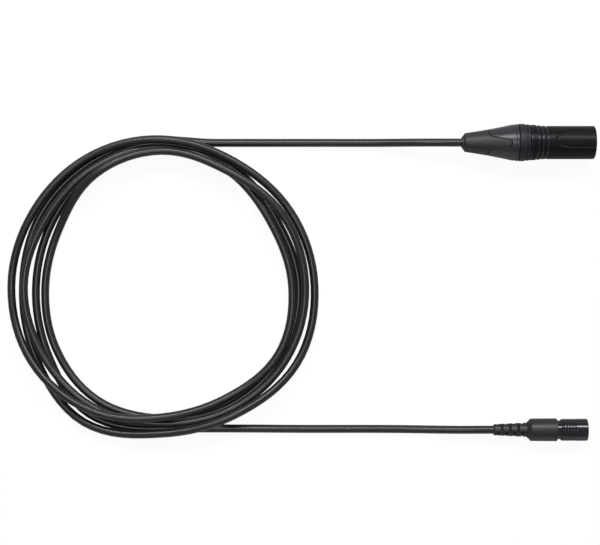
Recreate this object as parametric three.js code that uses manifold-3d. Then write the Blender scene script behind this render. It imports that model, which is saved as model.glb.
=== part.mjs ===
// A coiled audio lead lying on a table: a male cable connector with five pins on one end, a small
// round push-pull plug on the other, and the slack wound into four and a half loose loops.
// Millimetres, +X to the right of the coil, +Y away from the viewer, +Z up, table at z = 0.
import * as THREE from 'three';
import { mergeVertices } from 'three/addons/utils/BufferGeometryUtils.js';
import Module from 'manifold-3d';

const wasm = await Module();
wasm.setup();

// ---------------------------------------------------------------- shared sizes
const FIT = 0.3;                 // gap between two pieces that touch or run on each other
const OVERCUT = 1;               // how far a cutting shape reaches past the piece it cuts
const ROUND = 36;                // sides of the large connector's turned pieces
const PLUG_ROUND = 32;           // sides of the small plug's turned pieces
const THIN_ROUND = 12;           // sides of pins, sockets and cable ends
const CABLE_DIAMETER = 4.7;
const CABLE_RADIUS = CABLE_DIAMETER / 2;
const CABLE_BORE = CABLE_RADIUS + FIT;
const TAIL_SIDES = 8;
const CORES = 5;                 // conductors in the cable, one to a contact
const CORE_RADIUS = 0.45;
const CORE_CIRCLE = 1.15;        // radius on which the cores lie in the jacket
const CORE_SIDES = 6;
const CORE_STEPS = 8;
const CORE_COLOURS = [0xb8302a, 0xd8d4c8, 0x2f6f3a, 0x2c4f8f, 0xd9a33a];

// ---------------------------------------------------------------- coil
const COIL_X = -79;
const COIL_Y = -2.3;
const COIL_RADIUS = 80;
const COIL_STEPS = 24;           // rings of points in a loop
const COIL_SIDES = 6;
const STATIONS = 12;             // places round a loop where its path is given
const COIL_END_X = -48;          // both straight ends stop here
const COIL_ENTRY_OFFSET = 3.25;  // how far outside the coil's radius the cable runs in
const COIL_ENTRY_Y = COIL_Y + COIL_RADIUS + COIL_ENTRY_OFFSET;
const COIL_LEAD_STEPS = 4;
// How much wider or narrower than the coil's radius each loop runs, at stations counted from the top,
// turning left.
const LOOP_OFFSETS = [
  [5, 3, 1.9, 0.9, 4.3, 10.5, 4.6, 4.8, 9.7, 8.2, 6, 3.3],
  [4.4, 5.7, 5.8, 7.5, 6.4, 1.5, -5, -5.7, -2.2, -4.8, -7, -3],
  [0.5, -1.5, -2.7, -0.7, -1, -0.1, -1, 1.3, 3.1, 2.8, 1.2, -3.5],
  [-2.2, -5.5, -11.5, -12.1, -8.6, -4.1, -3.5, -1, 0, -1, -3.4, 0],
  [-0.5, -2.5, -6, -6.7, -3, 5.2, 2.3],
];
// How far each loop is lifted off the table there by the loops under it, in cable diameters.
const LOOP_LIFTS = [
  [0, 0, 0, 0, 0, 0.5, 1.4, 2.2, 0.5, 0, 0, 1.1],
  [2.2, 1.1, 0.8, 0.1, 1.2, 2.3, 2, 1, 1.2, 1, 1.1, 1.2],
  [1.1, 1.2, 1.1, 1.2, 1.1, 1.2, 1.1, 1.1, 1.1, 0.9, 1.6, 2.4],
  [2.2, 2.3, 0.3, 0, 0, 0, 0, 0, 0, 0, 0, 0],
  [0, 0, 0, 0, 0, 0, 0],
];
const COIL_EXIT_Y = COIL_Y - COIL_RADIUS - LOOP_OFFSETS.at(-1).at(-1);

// ---------------------------------------------------------------- large connector
// Places along its axis are counted from the rear face of its boot.
const XLR_REAR_X = 93.5;
const XLR_DRIFT = 0.55;          // it lies this much nearer the viewer than the cable runs into the coil
const XLR_AXIS_Y = COIL_ENTRY_Y - XLR_DRIFT;
const COLLAR_RADIUS = 10.68;     // the widest ring, which it lies on
const XLR_AXIS_Z = COLLAR_RADIUS;

const BOOT_LENGTH = 31.9;
const BOOT_REAR_RADIUS = 3.1;
const BOOT_CHAMFER_END = 1.8;
const BOOT_CHAMFER_RADIUS = 5.4;
const BOOT_TAPER_END = 28.5;     // from here the boot is nearly straight
const BOOT_TAPER_RADIUS = 10.2;
const BOOT_FRONT_RADIUS = 10.6;
const BOOT_SWELL = 0.23;         // how much of the taper is curved
const BOOT_STEPS = 8;
const BOOT_GROOVE_FROM = 30.2;
const BOOT_GROOVE_TO = 30.8;
const BOOT_GROOVE_DEPTH = 0.45;
const SLEEVE_WALL = 1.4;         // soft skin over the hard boot
const SLEEVE_CAP = 1.7;          // its thickness at the cable end
const TONGUE_ROOT = 15;          // where the soft skin narrows to its two tongues
const TONGUE_TIP = 27.65;
const TONGUE_ROOT_HALF = 3.85;
const TONGUE_END_HALF = 2.3;
const TONGUE_NOSE = 2.6;         // length of a tongue's rounded end
const TONGUE_CORNER_LENGTH = 1.7; // hollow curve from the skin's front edge into a tongue's side
const TONGUE_CORNER_WIDTH = 2.4;
const TONGUE_CORNER_STEPS = 3;
const BOOT_CAVITY_START = 12;
const BOOT_CAVITY_REAR_RADIUS = 3.2;
const BOOT_CAVITY_FULL = 26;     // where the cavity's cone ends
const NECK_LENGTH = 12;          // threaded neck in front of the boot's lip
const NECK_RADIUS = 8.2;
const NECK_BORE = 6.8;

const RING_REAR_GROOVE = 0.3;
const RING_LAND = 3.7;           // its wide middle
const RING_FRONT_GROOVE = 0.8;
const RING_FLANGE = 1.4;
const RING_WIDTH = RING_REAR_GROOVE + RING_LAND + RING_FRONT_GROOVE + RING_FLANGE;
const RING_GROOVE_RADIUS = 9.95;
const RING_FLANGE_RADIUS = 10.4;
const RING_CROWN = 0.1;          // radius lost at the edges of the land and the flange
const RING_CROWN_WIDTH = 0.4;

const SHELL_LENGTH = 37.3;
const SHELL_RADIUS = 9.5;
const SHELL_EDGE = 0.7;          // rounding of the front rim
const SHELL_BAND_RADII = [10.2, 9.85, 9.63];
const SHELL_BAND_ENDS = [3.55, 6.3, 8.85];
const SHELL_BAND_RISE = 0.9;     // length of the rounded step at the rear of a band
const SHELL_BAND_DROP = 0.35;    // height of that step
const SHELL_BAND_TAPER = 0.15;   // radius lost from a band's crest to its front end
const SHELL_GROOVE_WIDTH = 0.45; // between two bands
const SHELL_REAR_BORE = NECK_RADIUS + FIT;
const MOUTH_RADIUS = 8;          // inside the front of the shell
const MOUTH_DEPTH = 15;          // from the rim to the insert
const PANEL_TIP = 23.6;          // the arched recess on the barrel, from the rim to its tip
const PANEL_HALF = 4.2;
const PANEL_ARCH = 11;           // length over which the arch closes
const PANEL_DEPTH = 0.35;
const PANEL_OFFSET = 0.6;        // it sits a little to one side of the top
const KEY_WIDTH = 2.6;
const KEY_LENGTH = 6.5;
const KEY_HEIGHT = 1;
const CATCH_WIDTH = 5;           // pocket that a socket's latch drops into
const CATCH_LENGTH = 2.5;
const CATCH_DEPTH = 0.7;
const CATCH_FROM_RIM = 2.2;

const INSERT_LENGTH = 12.2;
const INSERT_NOSE = 1.8;
const PIN_RADIUS = 0.8;
const PIN_CIRCLE = 4.2;
const PIN_REACH = 12.6;          // what stands out of the insert
const PIN_STEP_ANGLE = 60;       // six places round the circle, the one at the key left empty
const CUP_RADIUS = 1.05;
const CUP_BORE = 0.75;
const CUP_DEPTH = 3;
const CUP_LENGTH = 4.7;

const CLAMP_START = 13;
const CLAMP_GRIP_END = 32.5;
const CLAMP_STEP = 1.5;         // length of the cone from the gripping bore to the wide one
const CLAMP_BORE = 5.5;
const CLAMP_SLOT = 0.8;
const CLAMP_SLOT_END = 24;
const XLR_JACKET_END = 33;

// ---------------------------------------------------------------- small plug
// Places along its axis are counted from the rear face of its strain relief.
const PLUG_REAR_X = 112.35;
const PLUG_DRIFT = 0.3;          // it lies this much nearer the viewer than the cable runs out of the coil
const PLUG_AXIS_Y = COIL_EXIT_Y - PLUG_DRIFT;
const GRIP_RADIUS = 6.58;        // it lies on its grip
const PLUG_AXIS_Z = GRIP_RADIUS;

const RELIEF_LENGTH = 19;
const RELIEF_REAR_RADIUS = 3.25;
const RELIEF_FRONT_RADIUS = 4.1;
const RELIEF_EDGE = 0.6;
const RELIEF_NECK = 3.75;
const RELIEF_FLANGE_RADIUS = 4.45;
const RELIEF_FLANGE_LENGTH = 2;
const RELIEF_SLOTS = 7;
const RELIEF_SLOT_FIRST = 2.2;
const RELIEF_SLOT_PITCH = 2.36;
const RELIEF_SLOT_WIDTH = 1.3;
const RELIEF_SLOT_FLOOR = 2.9;   // radius of a slot's round floor
const RELIEF_SLOT_END = 2.45;    // distance from the axis to the flat at which a slot ends
const RELIEF_ROLLS = [50, -40];  // the slots lie at these rolls from the top, one after the other

const GRIP_START = 19.3;
const GRIP_LENGTH = 17.1;
const GRIP_CONE = 2;
const GRIP_REAR_RADIUS = 4.45;
const GRIP_TAPER = 0.12;         // radius lost from the front edge to the cone
const GRIP_EDGE = 0.7;
const GRIP_LIP = 0.7;

const CORE_TUBE_RADIUS = 5.4;
const CORE_NOSE_START = 39.6;
const CORE_NOSE_RADIUS = 4.7;
const CORE_NOSE_END = 52.6;
const CORE_TUBE_BORE = 3.9;
const CLIP_START = 45.9;
const CLIP_WIDTH = 0.7;
const CLIP_GROOVE_RADIUS = 4.35;

const LOCK_START = 38.7;
const LOCK_LENGTH = 15.15;
const LOCK_BORE = CORE_TUBE_RADIUS + FIT;
const LOCK_RADIUS = 6.35;
const LOCK_REAR_RADIUS = 5.95;
const LOCK_FLARE = 0.75;
const LOCK_EDGE = 0.25;
const LOCK_GROOVES = 5;
const LOCK_GROOVE_FIRST = 1.2;
const LOCK_GROOVE_PITCH = 1.68;
const LOCK_GROOVE_WIDTH = 0.8;
const LOCK_GROOVE_DEPTH = 0.35;
const LOCK_RIB_START = 5.9;
const LOCK_RIB_WIDTH = 1;
const LOCK_TRAVEL = 1.6;         // how far it is pulled back to release
const SPRING_WIRE = 0.2;
const SPRING_CURLS = 3;
const SPRING_STEPS = 16;         // rings of points in a curl
const SPRING_SIDES = 5;

const PLUG_INSERT_START = 36.3;
const PLUG_INSERT_END = 47.2;
const SOCKET_CIRCLE = 2.2;
const SOCKET_RADIUS = 0.6;
const SOCKET_BORE = 0.35;
const SOCKET_CUP_RADIUS = 1;
const SOCKET_CUP_BORE = 0.75;
const SOCKET_CUP_LENGTH = 2.3;
const SOCKET_WEB = 0.6;          // what is left between a socket's cup and its bore
const FERRULE_LENGTH = 5.1;
const FERRULE_FLANGE = 0.5;
const FERRULE_RADIUS = 3.6;
const PLUG_JACKET_END = 29.3;

// ---------------------------------------------------------------- tails
// Hand-chosen points from the coil's straight ends to the two connectors.
const XLR_TAIL_POINTS = [
  [COIL_END_X + FIT, COIL_ENTRY_Y, CABLE_RADIUS],
  [-40, COIL_ENTRY_Y, CABLE_RADIUS],
  [-30, COIL_ENTRY_Y, CABLE_RADIUS],
  [-18, COIL_ENTRY_Y, CABLE_RADIUS],
  [-6, COIL_ENTRY_Y, CABLE_RADIUS],
  [6, COIL_ENTRY_Y, CABLE_RADIUS],
  [18, COIL_ENTRY_Y, CABLE_RADIUS],
  [28, COIL_ENTRY_Y - 0.02, CABLE_RADIUS],
  [37, COIL_ENTRY_Y - 0.05, CABLE_RADIUS + 0.2],
  [45, COIL_ENTRY_Y - 0.1, 3.4],
  [53, COIL_ENTRY_Y - 0.2, 5.1],
  [61, COIL_ENTRY_Y - 0.3, 7.15],
  [68, COIL_ENTRY_Y - 0.4, 8.8],
  [74, COIL_ENTRY_Y - 0.48, 9.95],
  [79, COIL_ENTRY_Y - 0.53, 10.5],
  [83, XLR_AXIS_Y, XLR_AXIS_Z],
  [87, XLR_AXIS_Y, XLR_AXIS_Z],
  [90, XLR_AXIS_Y, XLR_AXIS_Z],
  [XLR_REAR_X - FIT, XLR_AXIS_Y, XLR_AXIS_Z],
];
const XLR_TAIL_STEPS = 40;
const PLUG_TAIL_POINTS = [
  [COIL_END_X + FIT, COIL_EXIT_Y, CABLE_RADIUS],
  [-40, COIL_EXIT_Y, CABLE_RADIUS],
  [-30, COIL_EXIT_Y - 0.05, CABLE_RADIUS],
  [-18, COIL_EXIT_Y - 0.1, CABLE_RADIUS],
  [-6, COIL_EXIT_Y - 0.2, CABLE_RADIUS],
  [6, COIL_EXIT_Y - 0.25, CABLE_RADIUS],
  [18, COIL_EXIT_Y - 0.25, CABLE_RADIUS],
  [30, COIL_EXIT_Y - 0.25, CABLE_RADIUS],
  [42, COIL_EXIT_Y - 0.25, CABLE_RADIUS],
  [54, COIL_EXIT_Y - 0.3, CABLE_RADIUS],
  [63, COIL_EXIT_Y - 0.38, CABLE_RADIUS + 0.15],
  [72, COIL_EXIT_Y - 0.45, 3.05],
  [80, COIL_EXIT_Y - 0.48, 4.05],
  [88, COIL_EXIT_Y - 0.45, 5.2],
  [95, COIL_EXIT_Y - 0.4, 6.1],
  [101, COIL_EXIT_Y - 0.33, 6.5],
  [105, PLUG_AXIS_Y, PLUG_AXIS_Z],
  [109, PLUG_AXIS_Y, PLUG_AXIS_Z],
  [PLUG_REAR_X - FIT, PLUG_AXIS_Y, PLUG_AXIS_Z],
];
const PLUG_TAIL_STEPS = 44;

// ---------------------------------------------------------------- helpers
const radians = (degrees) => THREE.MathUtils.degToRad(degrees);

// A closed solid for manifold-3d, facing out, from any closed three.js geometry.
function toManifold(geometry) {
  const bare = geometry.clone();
  bare.deleteAttribute('normal');
  bare.deleteAttribute('uv');
  const merged = mergeVertices(bare, 1e-4);
  const corners = merged.index.array;
  const kept = [];
  for (let i = 0; i < corners.length; i += 3) {
    const [a, b, c] = [corners[i], corners[i + 1], corners[i + 2]];
    if (a !== b && b !== c && a !== c) kept.push(a, b, c);
  }
  const places = merged.attributes.position;
  const corner = (k) => new THREE.Vector3().fromBufferAttribute(places, k);
  let volume = 0;
  for (let i = 0; i < kept.length; i += 3) {
    volume += corner(kept[i]).dot(corner(kept[i + 1]).cross(corner(kept[i + 2])));
  }
  if (volume < 0) kept.reverse();
  return new wasm.Manifold(new wasm.Mesh({
    numProp: 3,
    vertProperties: new Float32Array(places.array),
    triVerts: new Uint32Array(kept),
  }));
}

function toGeometry(solid) {
  const mesh = solid.getMesh();
  const geometry = new THREE.BufferGeometry();
  geometry.setAttribute('position', new THREE.BufferAttribute(mesh.vertProperties, 3));
  geometry.setIndex(new THREE.BufferAttribute(mesh.triVerts, 1));
  geometry.computeVertexNormals();
  return geometry;
}

// Turns a closed outline of [place along the axis, radius] points about the X axis.
function turned(outline, sides = ROUND) {
  const points = [...outline, outline[0]].map(([along, radius]) => new THREE.Vector2(radius, along));
  const geometry = new THREE.LatheGeometry(points, sides);
  geometry.rotateZ(-Math.PI / 2);
  return toManifold(geometry);
}

const tube = (from, to, outer, inner, sides = ROUND) =>
  turned([[from, inner], [from, outer], [to, outer], [to, inner]], sides);

const rod = (from, to, radius, sides = ROUND) =>
  turned([[from, 0], [from, radius], [to, radius], [to, 0]], sides);

function block(fromX, toX, sizeY, fromZ, toZ) {
  const geometry = new THREE.BoxGeometry(toX - fromX, sizeY, toZ - fromZ);
  geometry.translate((fromX + toX) / 2, 0, (fromZ + toZ) / 2);
  return toManifold(geometry);
}

// A solid with the given outline in X and Y, reaching from one height to another.
function prism(outline, fromZ, toZ) {
  const shape = new THREE.Shape(outline.map(([x, y]) => new THREE.Vector2(x, y)));
  const geometry = new THREE.ExtrudeGeometry(shape, { depth: toZ - fromZ, bevelEnabled: false });
  geometry.translate(0, 0, fromZ);
  return toManifold(geometry);
}

// A rounded edge as outline points, from one radius to the next over the given length.
function roundedEdge(from, to, outer, drop, steps = 4) {
  const points = [];
  for (let i = 0; i <= steps; i++) {
    const turn = (i / steps) * (Math.PI / 2);
    points.push([from + (to - from) * Math.sin(turn), outer - drop * (1 - Math.cos(turn))]);
  }
  return points;
}

function alongPath(points, radius, steps, sides) {
  const path = new THREE.CatmullRomCurve3(points.map((p) => new THREE.Vector3(...p)));
  const section = new THREE.Shape(new THREE.EllipseCurve(0, 0, radius, radius).getPoints(sides).slice(0, -1));
  return toManifold(new THREE.ExtrudeGeometry(section, { steps, bevelEnabled: false, extrudePath: path }));
}

// Where a contact lies round a connector's axis, as [y, z] on a circle of the given radius.
function onCircle(radius, degrees) {
  return [radius * Math.cos(radians(degrees)), radius * Math.sin(radians(degrees))];
}

const group = new THREE.Group();

function place(parent, name, solid, colour, roughness, metalness) {
  const material = new THREE.MeshStandardMaterial({ color: colour, roughness, metalness });
  material.name = name;
  const mesh = new THREE.Mesh(toGeometry(solid), material);
  mesh.name = name;
  parent.add(mesh);
}

// ---------------------------------------------------------------- large connector's pieces
const LIP_FRONT = BOOT_LENGTH;
const RING_START = LIP_FRONT + FIT;
const SHELL_START = RING_START + RING_WIDTH + FIT;
const SHELL_END = SHELL_START + SHELL_LENGTH;
const INSERT_FRONT = SHELL_END - MOUTH_DEPTH;
const INSERT_REAR = INSERT_FRONT - INSERT_LENGTH;
const CUP_REAR = INSERT_REAR - CUP_LENGTH;

function bootRadius(along) {
  if (along < BOOT_CHAMFER_END) {
    const share = along / BOOT_CHAMFER_END;
    return BOOT_REAR_RADIUS + share * (BOOT_CHAMFER_RADIUS - BOOT_REAR_RADIUS);
  }
  if (along > BOOT_TAPER_END) {
    const share = (along - BOOT_TAPER_END) / (BOOT_LENGTH - BOOT_TAPER_END);
    return BOOT_TAPER_RADIUS + share * (BOOT_FRONT_RADIUS - BOOT_TAPER_RADIUS);
  }
  const share = (along - BOOT_CHAMFER_END) / (BOOT_TAPER_END - BOOT_CHAMFER_END);
  const eased = (1 - BOOT_SWELL) * share + BOOT_SWELL * share * share;
  return BOOT_CHAMFER_RADIUS + eased * (BOOT_TAPER_RADIUS - BOOT_CHAMFER_RADIUS);
}

// The boot's outer surface from its chamfer to a place near its lip, moved in by a wall.
function bootOutline(from, to, inset) {
  const points = [];
  for (let i = 0; i <= BOOT_STEPS; i++) {
    const along = from + ((to - from) * i) / BOOT_STEPS;
    points.push([along, bootRadius(along) - inset]);
  }
  return points;
}

// Outline of the soft skin seen from above: the full width at the rear, one arched tongue in front.
function tongueOutline(margin) {
  const wide = COLLAR_RADIUS + OVERCUT;
  const root = TONGUE_ROOT + margin;
  const side = [[-margin - OVERCUT, wide], [root, wide]];
  for (let i = 0; i <= TONGUE_CORNER_STEPS; i++) {
    const turn = (i / TONGUE_CORNER_STEPS) * (Math.PI / 2);
    const along = root + TONGUE_CORNER_LENGTH * (1 - Math.cos(turn));
    side.push([along, margin + TONGUE_ROOT_HALF + TONGUE_CORNER_WIDTH * (1 - Math.sin(turn))]);
  }
  const noseStart = TONGUE_TIP - TONGUE_NOSE;
  const noseSteps = 6;
  for (let i = 0; i < noseSteps; i++) {
    const turn = (i / noseSteps) * (Math.PI / 2);
    const along = noseStart + (TONGUE_NOSE + margin) * Math.sin(turn);
    side.push([along, (TONGUE_END_HALF + margin) * Math.cos(turn)]);
  }
  const tip = [[TONGUE_TIP + margin, 0]];
  const other = side.map(([x, y]) => [x, -y]).reverse();
  return [...side, ...tip, ...other].reverse();
}

function makeBootShell() {
  const skinEnd = TONGUE_TIP + 2 * FIT;
  const flanks = turned([
    [SLEEVE_CAP + FIT, CABLE_BORE],
    ...bootOutline(BOOT_CHAMFER_END, BOOT_GROOVE_FROM, 0),
    [BOOT_GROOVE_FROM, bootRadius(BOOT_GROOVE_FROM) - BOOT_GROOVE_DEPTH],
    [BOOT_GROOVE_TO, bootRadius(BOOT_GROOVE_TO) - BOOT_GROOVE_DEPTH],
    [BOOT_GROOVE_TO, bootRadius(BOOT_GROOVE_TO)],
    [LIP_FRONT, BOOT_FRONT_RADIUS],
    [LIP_FRONT, NECK_RADIUS],
    [LIP_FRONT + NECK_LENGTH, NECK_RADIUS],
    [LIP_FRONT + NECK_LENGTH, CABLE_BORE],
  ]);
  const underSkin = turned([
    [SLEEVE_CAP + FIT, CABLE_BORE],
    ...bootOutline(SLEEVE_CAP + FIT, skinEnd, SLEEVE_WALL + FIT),
    [skinEnd, CABLE_BORE],
  ]);
  const skinSpace = prism(tongueOutline(FIT), -COLLAR_RADIUS - OVERCUT, COLLAR_RADIUS + OVERCUT);
  const cavity = turned([
    [BOOT_CAVITY_START, 0],
    [BOOT_CAVITY_START, BOOT_CAVITY_REAR_RADIUS],
    [BOOT_CAVITY_FULL, NECK_BORE],
    [LIP_FRONT + NECK_LENGTH + OVERCUT, NECK_BORE],
    [LIP_FRONT + NECK_LENGTH + OVERCUT, 0],
  ]);
  return flanks.subtract(skinSpace).add(underSkin).subtract(cavity);
}

function makeBootSkin() {
  const outside = turned([
    [0, CABLE_BORE],
    [0, BOOT_REAR_RADIUS],
    ...bootOutline(BOOT_CHAMFER_END, TONGUE_TIP, 0),
    [TONGUE_TIP, CABLE_BORE],
  ]);
  const hollow = turned([
    [SLEEVE_CAP, 0],
    ...bootOutline(SLEEVE_CAP, TONGUE_TIP + OVERCUT, SLEEVE_WALL),
    [TONGUE_TIP + OVERCUT, 0],
  ]);
  const outline = prism(tongueOutline(0), -COLLAR_RADIUS - OVERCUT, COLLAR_RADIUS + OVERCUT);
  return outside.subtract(hollow).intersect(outline);
}

function makeCollarRing() {
  const ringEnd = RING_START + RING_WIDTH;
  const landStart = RING_START + RING_REAR_GROOVE;
  const landEnd = landStart + RING_LAND;
  const flangeStart = ringEnd - RING_FLANGE;
  const bore = NECK_RADIUS + FIT;
  return turned([
    [RING_START, bore],
    [RING_START, RING_GROOVE_RADIUS],
    [landStart, RING_GROOVE_RADIUS],
    [landStart, COLLAR_RADIUS - RING_CROWN],
    [landStart + RING_CROWN_WIDTH, COLLAR_RADIUS],
    [landEnd - RING_CROWN_WIDTH, COLLAR_RADIUS],
    [landEnd, COLLAR_RADIUS - RING_CROWN],
    [landEnd, RING_GROOVE_RADIUS],
    [flangeStart, RING_GROOVE_RADIUS],
    [flangeStart, RING_FLANGE_RADIUS - RING_CROWN],
    [flangeStart + RING_CROWN_WIDTH, RING_FLANGE_RADIUS],
    [ringEnd - RING_CROWN_WIDTH, RING_FLANGE_RADIUS],
    [ringEnd, RING_FLANGE_RADIUS - RING_CROWN],
    [ringEnd, bore],
  ]);
}

// A band's rounded rear step, up to its crest.
function bandRise(from, crest) {
  return [
    [from, crest - SHELL_BAND_DROP],
    [from + 0.4 * SHELL_BAND_RISE, crest - 0.25 * SHELL_BAND_DROP],
    [from + SHELL_BAND_RISE, crest],
  ];
}

// The shell's outline behind the barrel: bands that step down, each rounded behind, with a groove in front.
function shellBands() {
  const points = [];
  let from = SHELL_START;
  SHELL_BAND_RADII.forEach((crest, i) => {
    const next = SHELL_BAND_RADII[i + 1] ?? SHELL_RADIUS;
    const end = SHELL_START + SHELL_BAND_ENDS[i];
    points.push(...bandRise(from, crest));
    points.push([end, crest - SHELL_BAND_TAPER]);
    points.push([end + 0.2 * SHELL_GROOVE_WIDTH, next - SHELL_BAND_DROP]);
    from = end + SHELL_GROOVE_WIDTH;
  });
  return [...points, ...bandRise(from, SHELL_RADIUS)];
}

// The arched recess, seen from above: it opens at the rim and closes in a rounded tip.
function panelOutline() {
  const tip = SHELL_END - PANEL_TIP;
  const archSteps = 8;
  const side = [];
  for (let i = archSteps; i > 0; i--) {
    const share = i / archSteps;
    side.push([tip + PANEL_ARCH * share * share, PANEL_HALF * Math.sin((share * Math.PI) / 2)]);
  }
  const front = SHELL_END + OVERCUT;
  const outline = [[front, -PANEL_HALF], [front, PANEL_HALF], ...side, [tip, 0]];
  outline.push(...side.map(([x, y]) => [x, -y]).reverse());
  return outline.map(([x, y]) => [x, y + PANEL_OFFSET]);
}

function makeXlrShell() {
  const seat = INSERT_FRONT - INSERT_NOSE + FIT;
  const body = turned([
    ...shellBands(),
    ...roundedEdge(SHELL_END - SHELL_EDGE, SHELL_END, SHELL_RADIUS, SHELL_EDGE),
    [SHELL_END, MOUTH_RADIUS],
    [seat, MOUTH_RADIUS],
    [seat, SHELL_REAR_BORE],
    [SHELL_START, SHELL_REAR_BORE],
  ]);
  const panelFloor = SHELL_RADIUS - PANEL_DEPTH;
  const skin = tube(SHELL_END - PANEL_TIP - OVERCUT, SHELL_END + OVERCUT, SHELL_RADIUS + OVERCUT, panelFloor);
  const panel = skin.intersect(prism(panelOutline(), 0, SHELL_RADIUS + OVERCUT));
  const catchEnd = SHELL_END - CATCH_FROM_RIM;
  const pocket = block(catchEnd - CATCH_LENGTH, catchEnd, CATCH_WIDTH, 0, MOUTH_RADIUS + CATCH_DEPTH);
  const keyStart = INSERT_FRONT + FIT;
  const keyEnd = keyStart + KEY_LENGTH;
  const key = block(keyStart, keyEnd, KEY_WIDTH, MOUTH_RADIUS - KEY_HEIGHT, MOUTH_RADIUS + 0.6);
  return body.subtract(panel).subtract(pocket).add(key);
}

const pinAngle = (index) => 90 + PIN_STEP_ANGLE * (index + 1);

function makeXlrInsert() {
  const noseStart = INSERT_FRONT - INSERT_NOSE;
  let insert = turned([
    [INSERT_REAR, 0],
    [INSERT_REAR, SHELL_REAR_BORE - FIT],
    [noseStart, SHELL_REAR_BORE - FIT],
    [noseStart, MOUTH_RADIUS - FIT],
    [INSERT_FRONT - 0.3, MOUTH_RADIUS - FIT],
    [INSERT_FRONT, MOUTH_RADIUS - FIT - 0.3],
    [INSERT_FRONT, 0],
  ]);
  for (let i = 0; i < CORES; i++) {
    const [y, z] = onCircle(PIN_CIRCLE, pinAngle(i));
    const hole = rod(INSERT_REAR - OVERCUT, INSERT_FRONT + OVERCUT, PIN_RADIUS + FIT, THIN_ROUND);
    insert = insert.subtract(hole.translate([0, y, z]));
  }
  return insert;
}

function makePin(index) {
  const [y, z] = onCircle(PIN_CIRCLE, pinAngle(index));
  const tip = INSERT_FRONT + PIN_REACH;
  const shoulder = INSERT_REAR - FIT;
  return turned([
    [CUP_REAR, CUP_BORE],
    [CUP_REAR, CUP_RADIUS],
    [shoulder, CUP_RADIUS],
    [shoulder, PIN_RADIUS],
    ...roundedEdge(tip - PIN_RADIUS, tip, PIN_RADIUS, PIN_RADIUS),
    [CUP_REAR + CUP_DEPTH, 0],
    [CUP_REAR + CUP_DEPTH, CUP_BORE],
  ], THIN_ROUND).translate([0, y, z]);
}

// The collet that grips the cable: slotted jaws in the boot's cone, a tube in front that stops on the insert.
function makeXlrClamp() {
  const slope = (NECK_BORE - BOOT_CAVITY_REAR_RADIUS) / (BOOT_CAVITY_FULL - BOOT_CAVITY_START);
  const startRadius = BOOT_CAVITY_REAR_RADIUS + slope * (CLAMP_START - BOOT_CAVITY_START) - FIT;
  const clampEnd = INSERT_REAR - FIT;
  let clamp = turned([
    [CLAMP_START, CABLE_BORE],
    [CLAMP_START, startRadius],
    [BOOT_CAVITY_FULL, NECK_BORE - FIT],
    [clampEnd, NECK_BORE - FIT],
    [clampEnd, CLAMP_BORE],
    [CLAMP_GRIP_END + CLAMP_STEP, CLAMP_BORE],
    [CLAMP_GRIP_END, CABLE_BORE],
  ]);
  const slot = block(CLAMP_START - OVERCUT, CLAMP_SLOT_END, CLAMP_SLOT, -NECK_BORE, NECK_BORE);
  clamp = clamp.subtract(slot).subtract(slot.rotate([90, 0, 0]));
  return clamp;
}

// One conductor from its place in the jacket to the cup behind its contact.
function makeCore(from, to, circle, contactDegrees, coreDegrees) {
  const [y0, z0] = onCircle(CORE_CIRCLE, coreDegrees);
  const [y1, z1] = onCircle(circle, contactDegrees);
  const length = to - from;
  return alongPath([
    [from, y0, z0],
    [from + 0.15 * length, y0, z0],
    [from + 0.5 * length, (y0 + y1) / 2, (z0 + z1) / 2],
    [from + 0.8 * length, y1, z1],
    [to, y1, z1],
  ], CORE_RADIUS, CORE_STEPS, CORE_SIDES);
}

function addXlr() {
  const xlr = new THREE.Group();
  xlr.position.set(XLR_REAR_X, XLR_AXIS_Y, XLR_AXIS_Z);
  group.add(xlr);
  place(xlr, 'xlr_shell', makeXlrShell(), 0x17171a, 0.35, 0.8);
  place(xlr, 'xlr_insert', makeXlrInsert(), 0x101012, 0.6, 0);
  place(xlr, 'xlr_clamp', makeXlrClamp(), 0xd9d6cc, 0.55, 0);
  place(xlr, 'xlr_collar_ring', makeCollarRing(), 0x1c1d21, 0.5, 0);
  place(xlr, 'xlr_boot_shell', makeBootShell(), 0x232429, 0.4, 0);
  place(xlr, 'xlr_boot_skin', makeBootSkin(), 0x2a2929, 0.85, 0);
  place(xlr, 'xlr_cable_end', rod(0, XLR_JACKET_END, CABLE_RADIUS, THIN_ROUND), 0x161618, 0.5, 0);
  for (let i = 0; i < CORES; i++) {
    place(xlr, `xlr_pin_${i + 1}`, makePin(i), 0xc9b27a, 0.3, 1);
    const coreDegrees = 90 + (360 / CORES) * (i + 0.5);
    const coreEnd = CUP_REAR + CUP_DEPTH - FIT;
    const core = makeCore(XLR_JACKET_END + FIT, coreEnd, PIN_CIRCLE, pinAngle(i), coreDegrees);
    place(xlr, `xlr_core_${i + 1}`, core, CORE_COLOURS[i], 0.5, 0);
  }
}

// ---------------------------------------------------------------- small plug's pieces
const RELIEF_FLANGE_START = GRIP_START + GRIP_LIP + FIT;
const RELIEF_FRONT = RELIEF_FLANGE_START + RELIEF_FLANGE_LENGTH;
const FERRULE_START = RELIEF_FRONT + FIT;
const CORE_TUBE_START = FERRULE_START + FERRULE_FLANGE + FIT;

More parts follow.
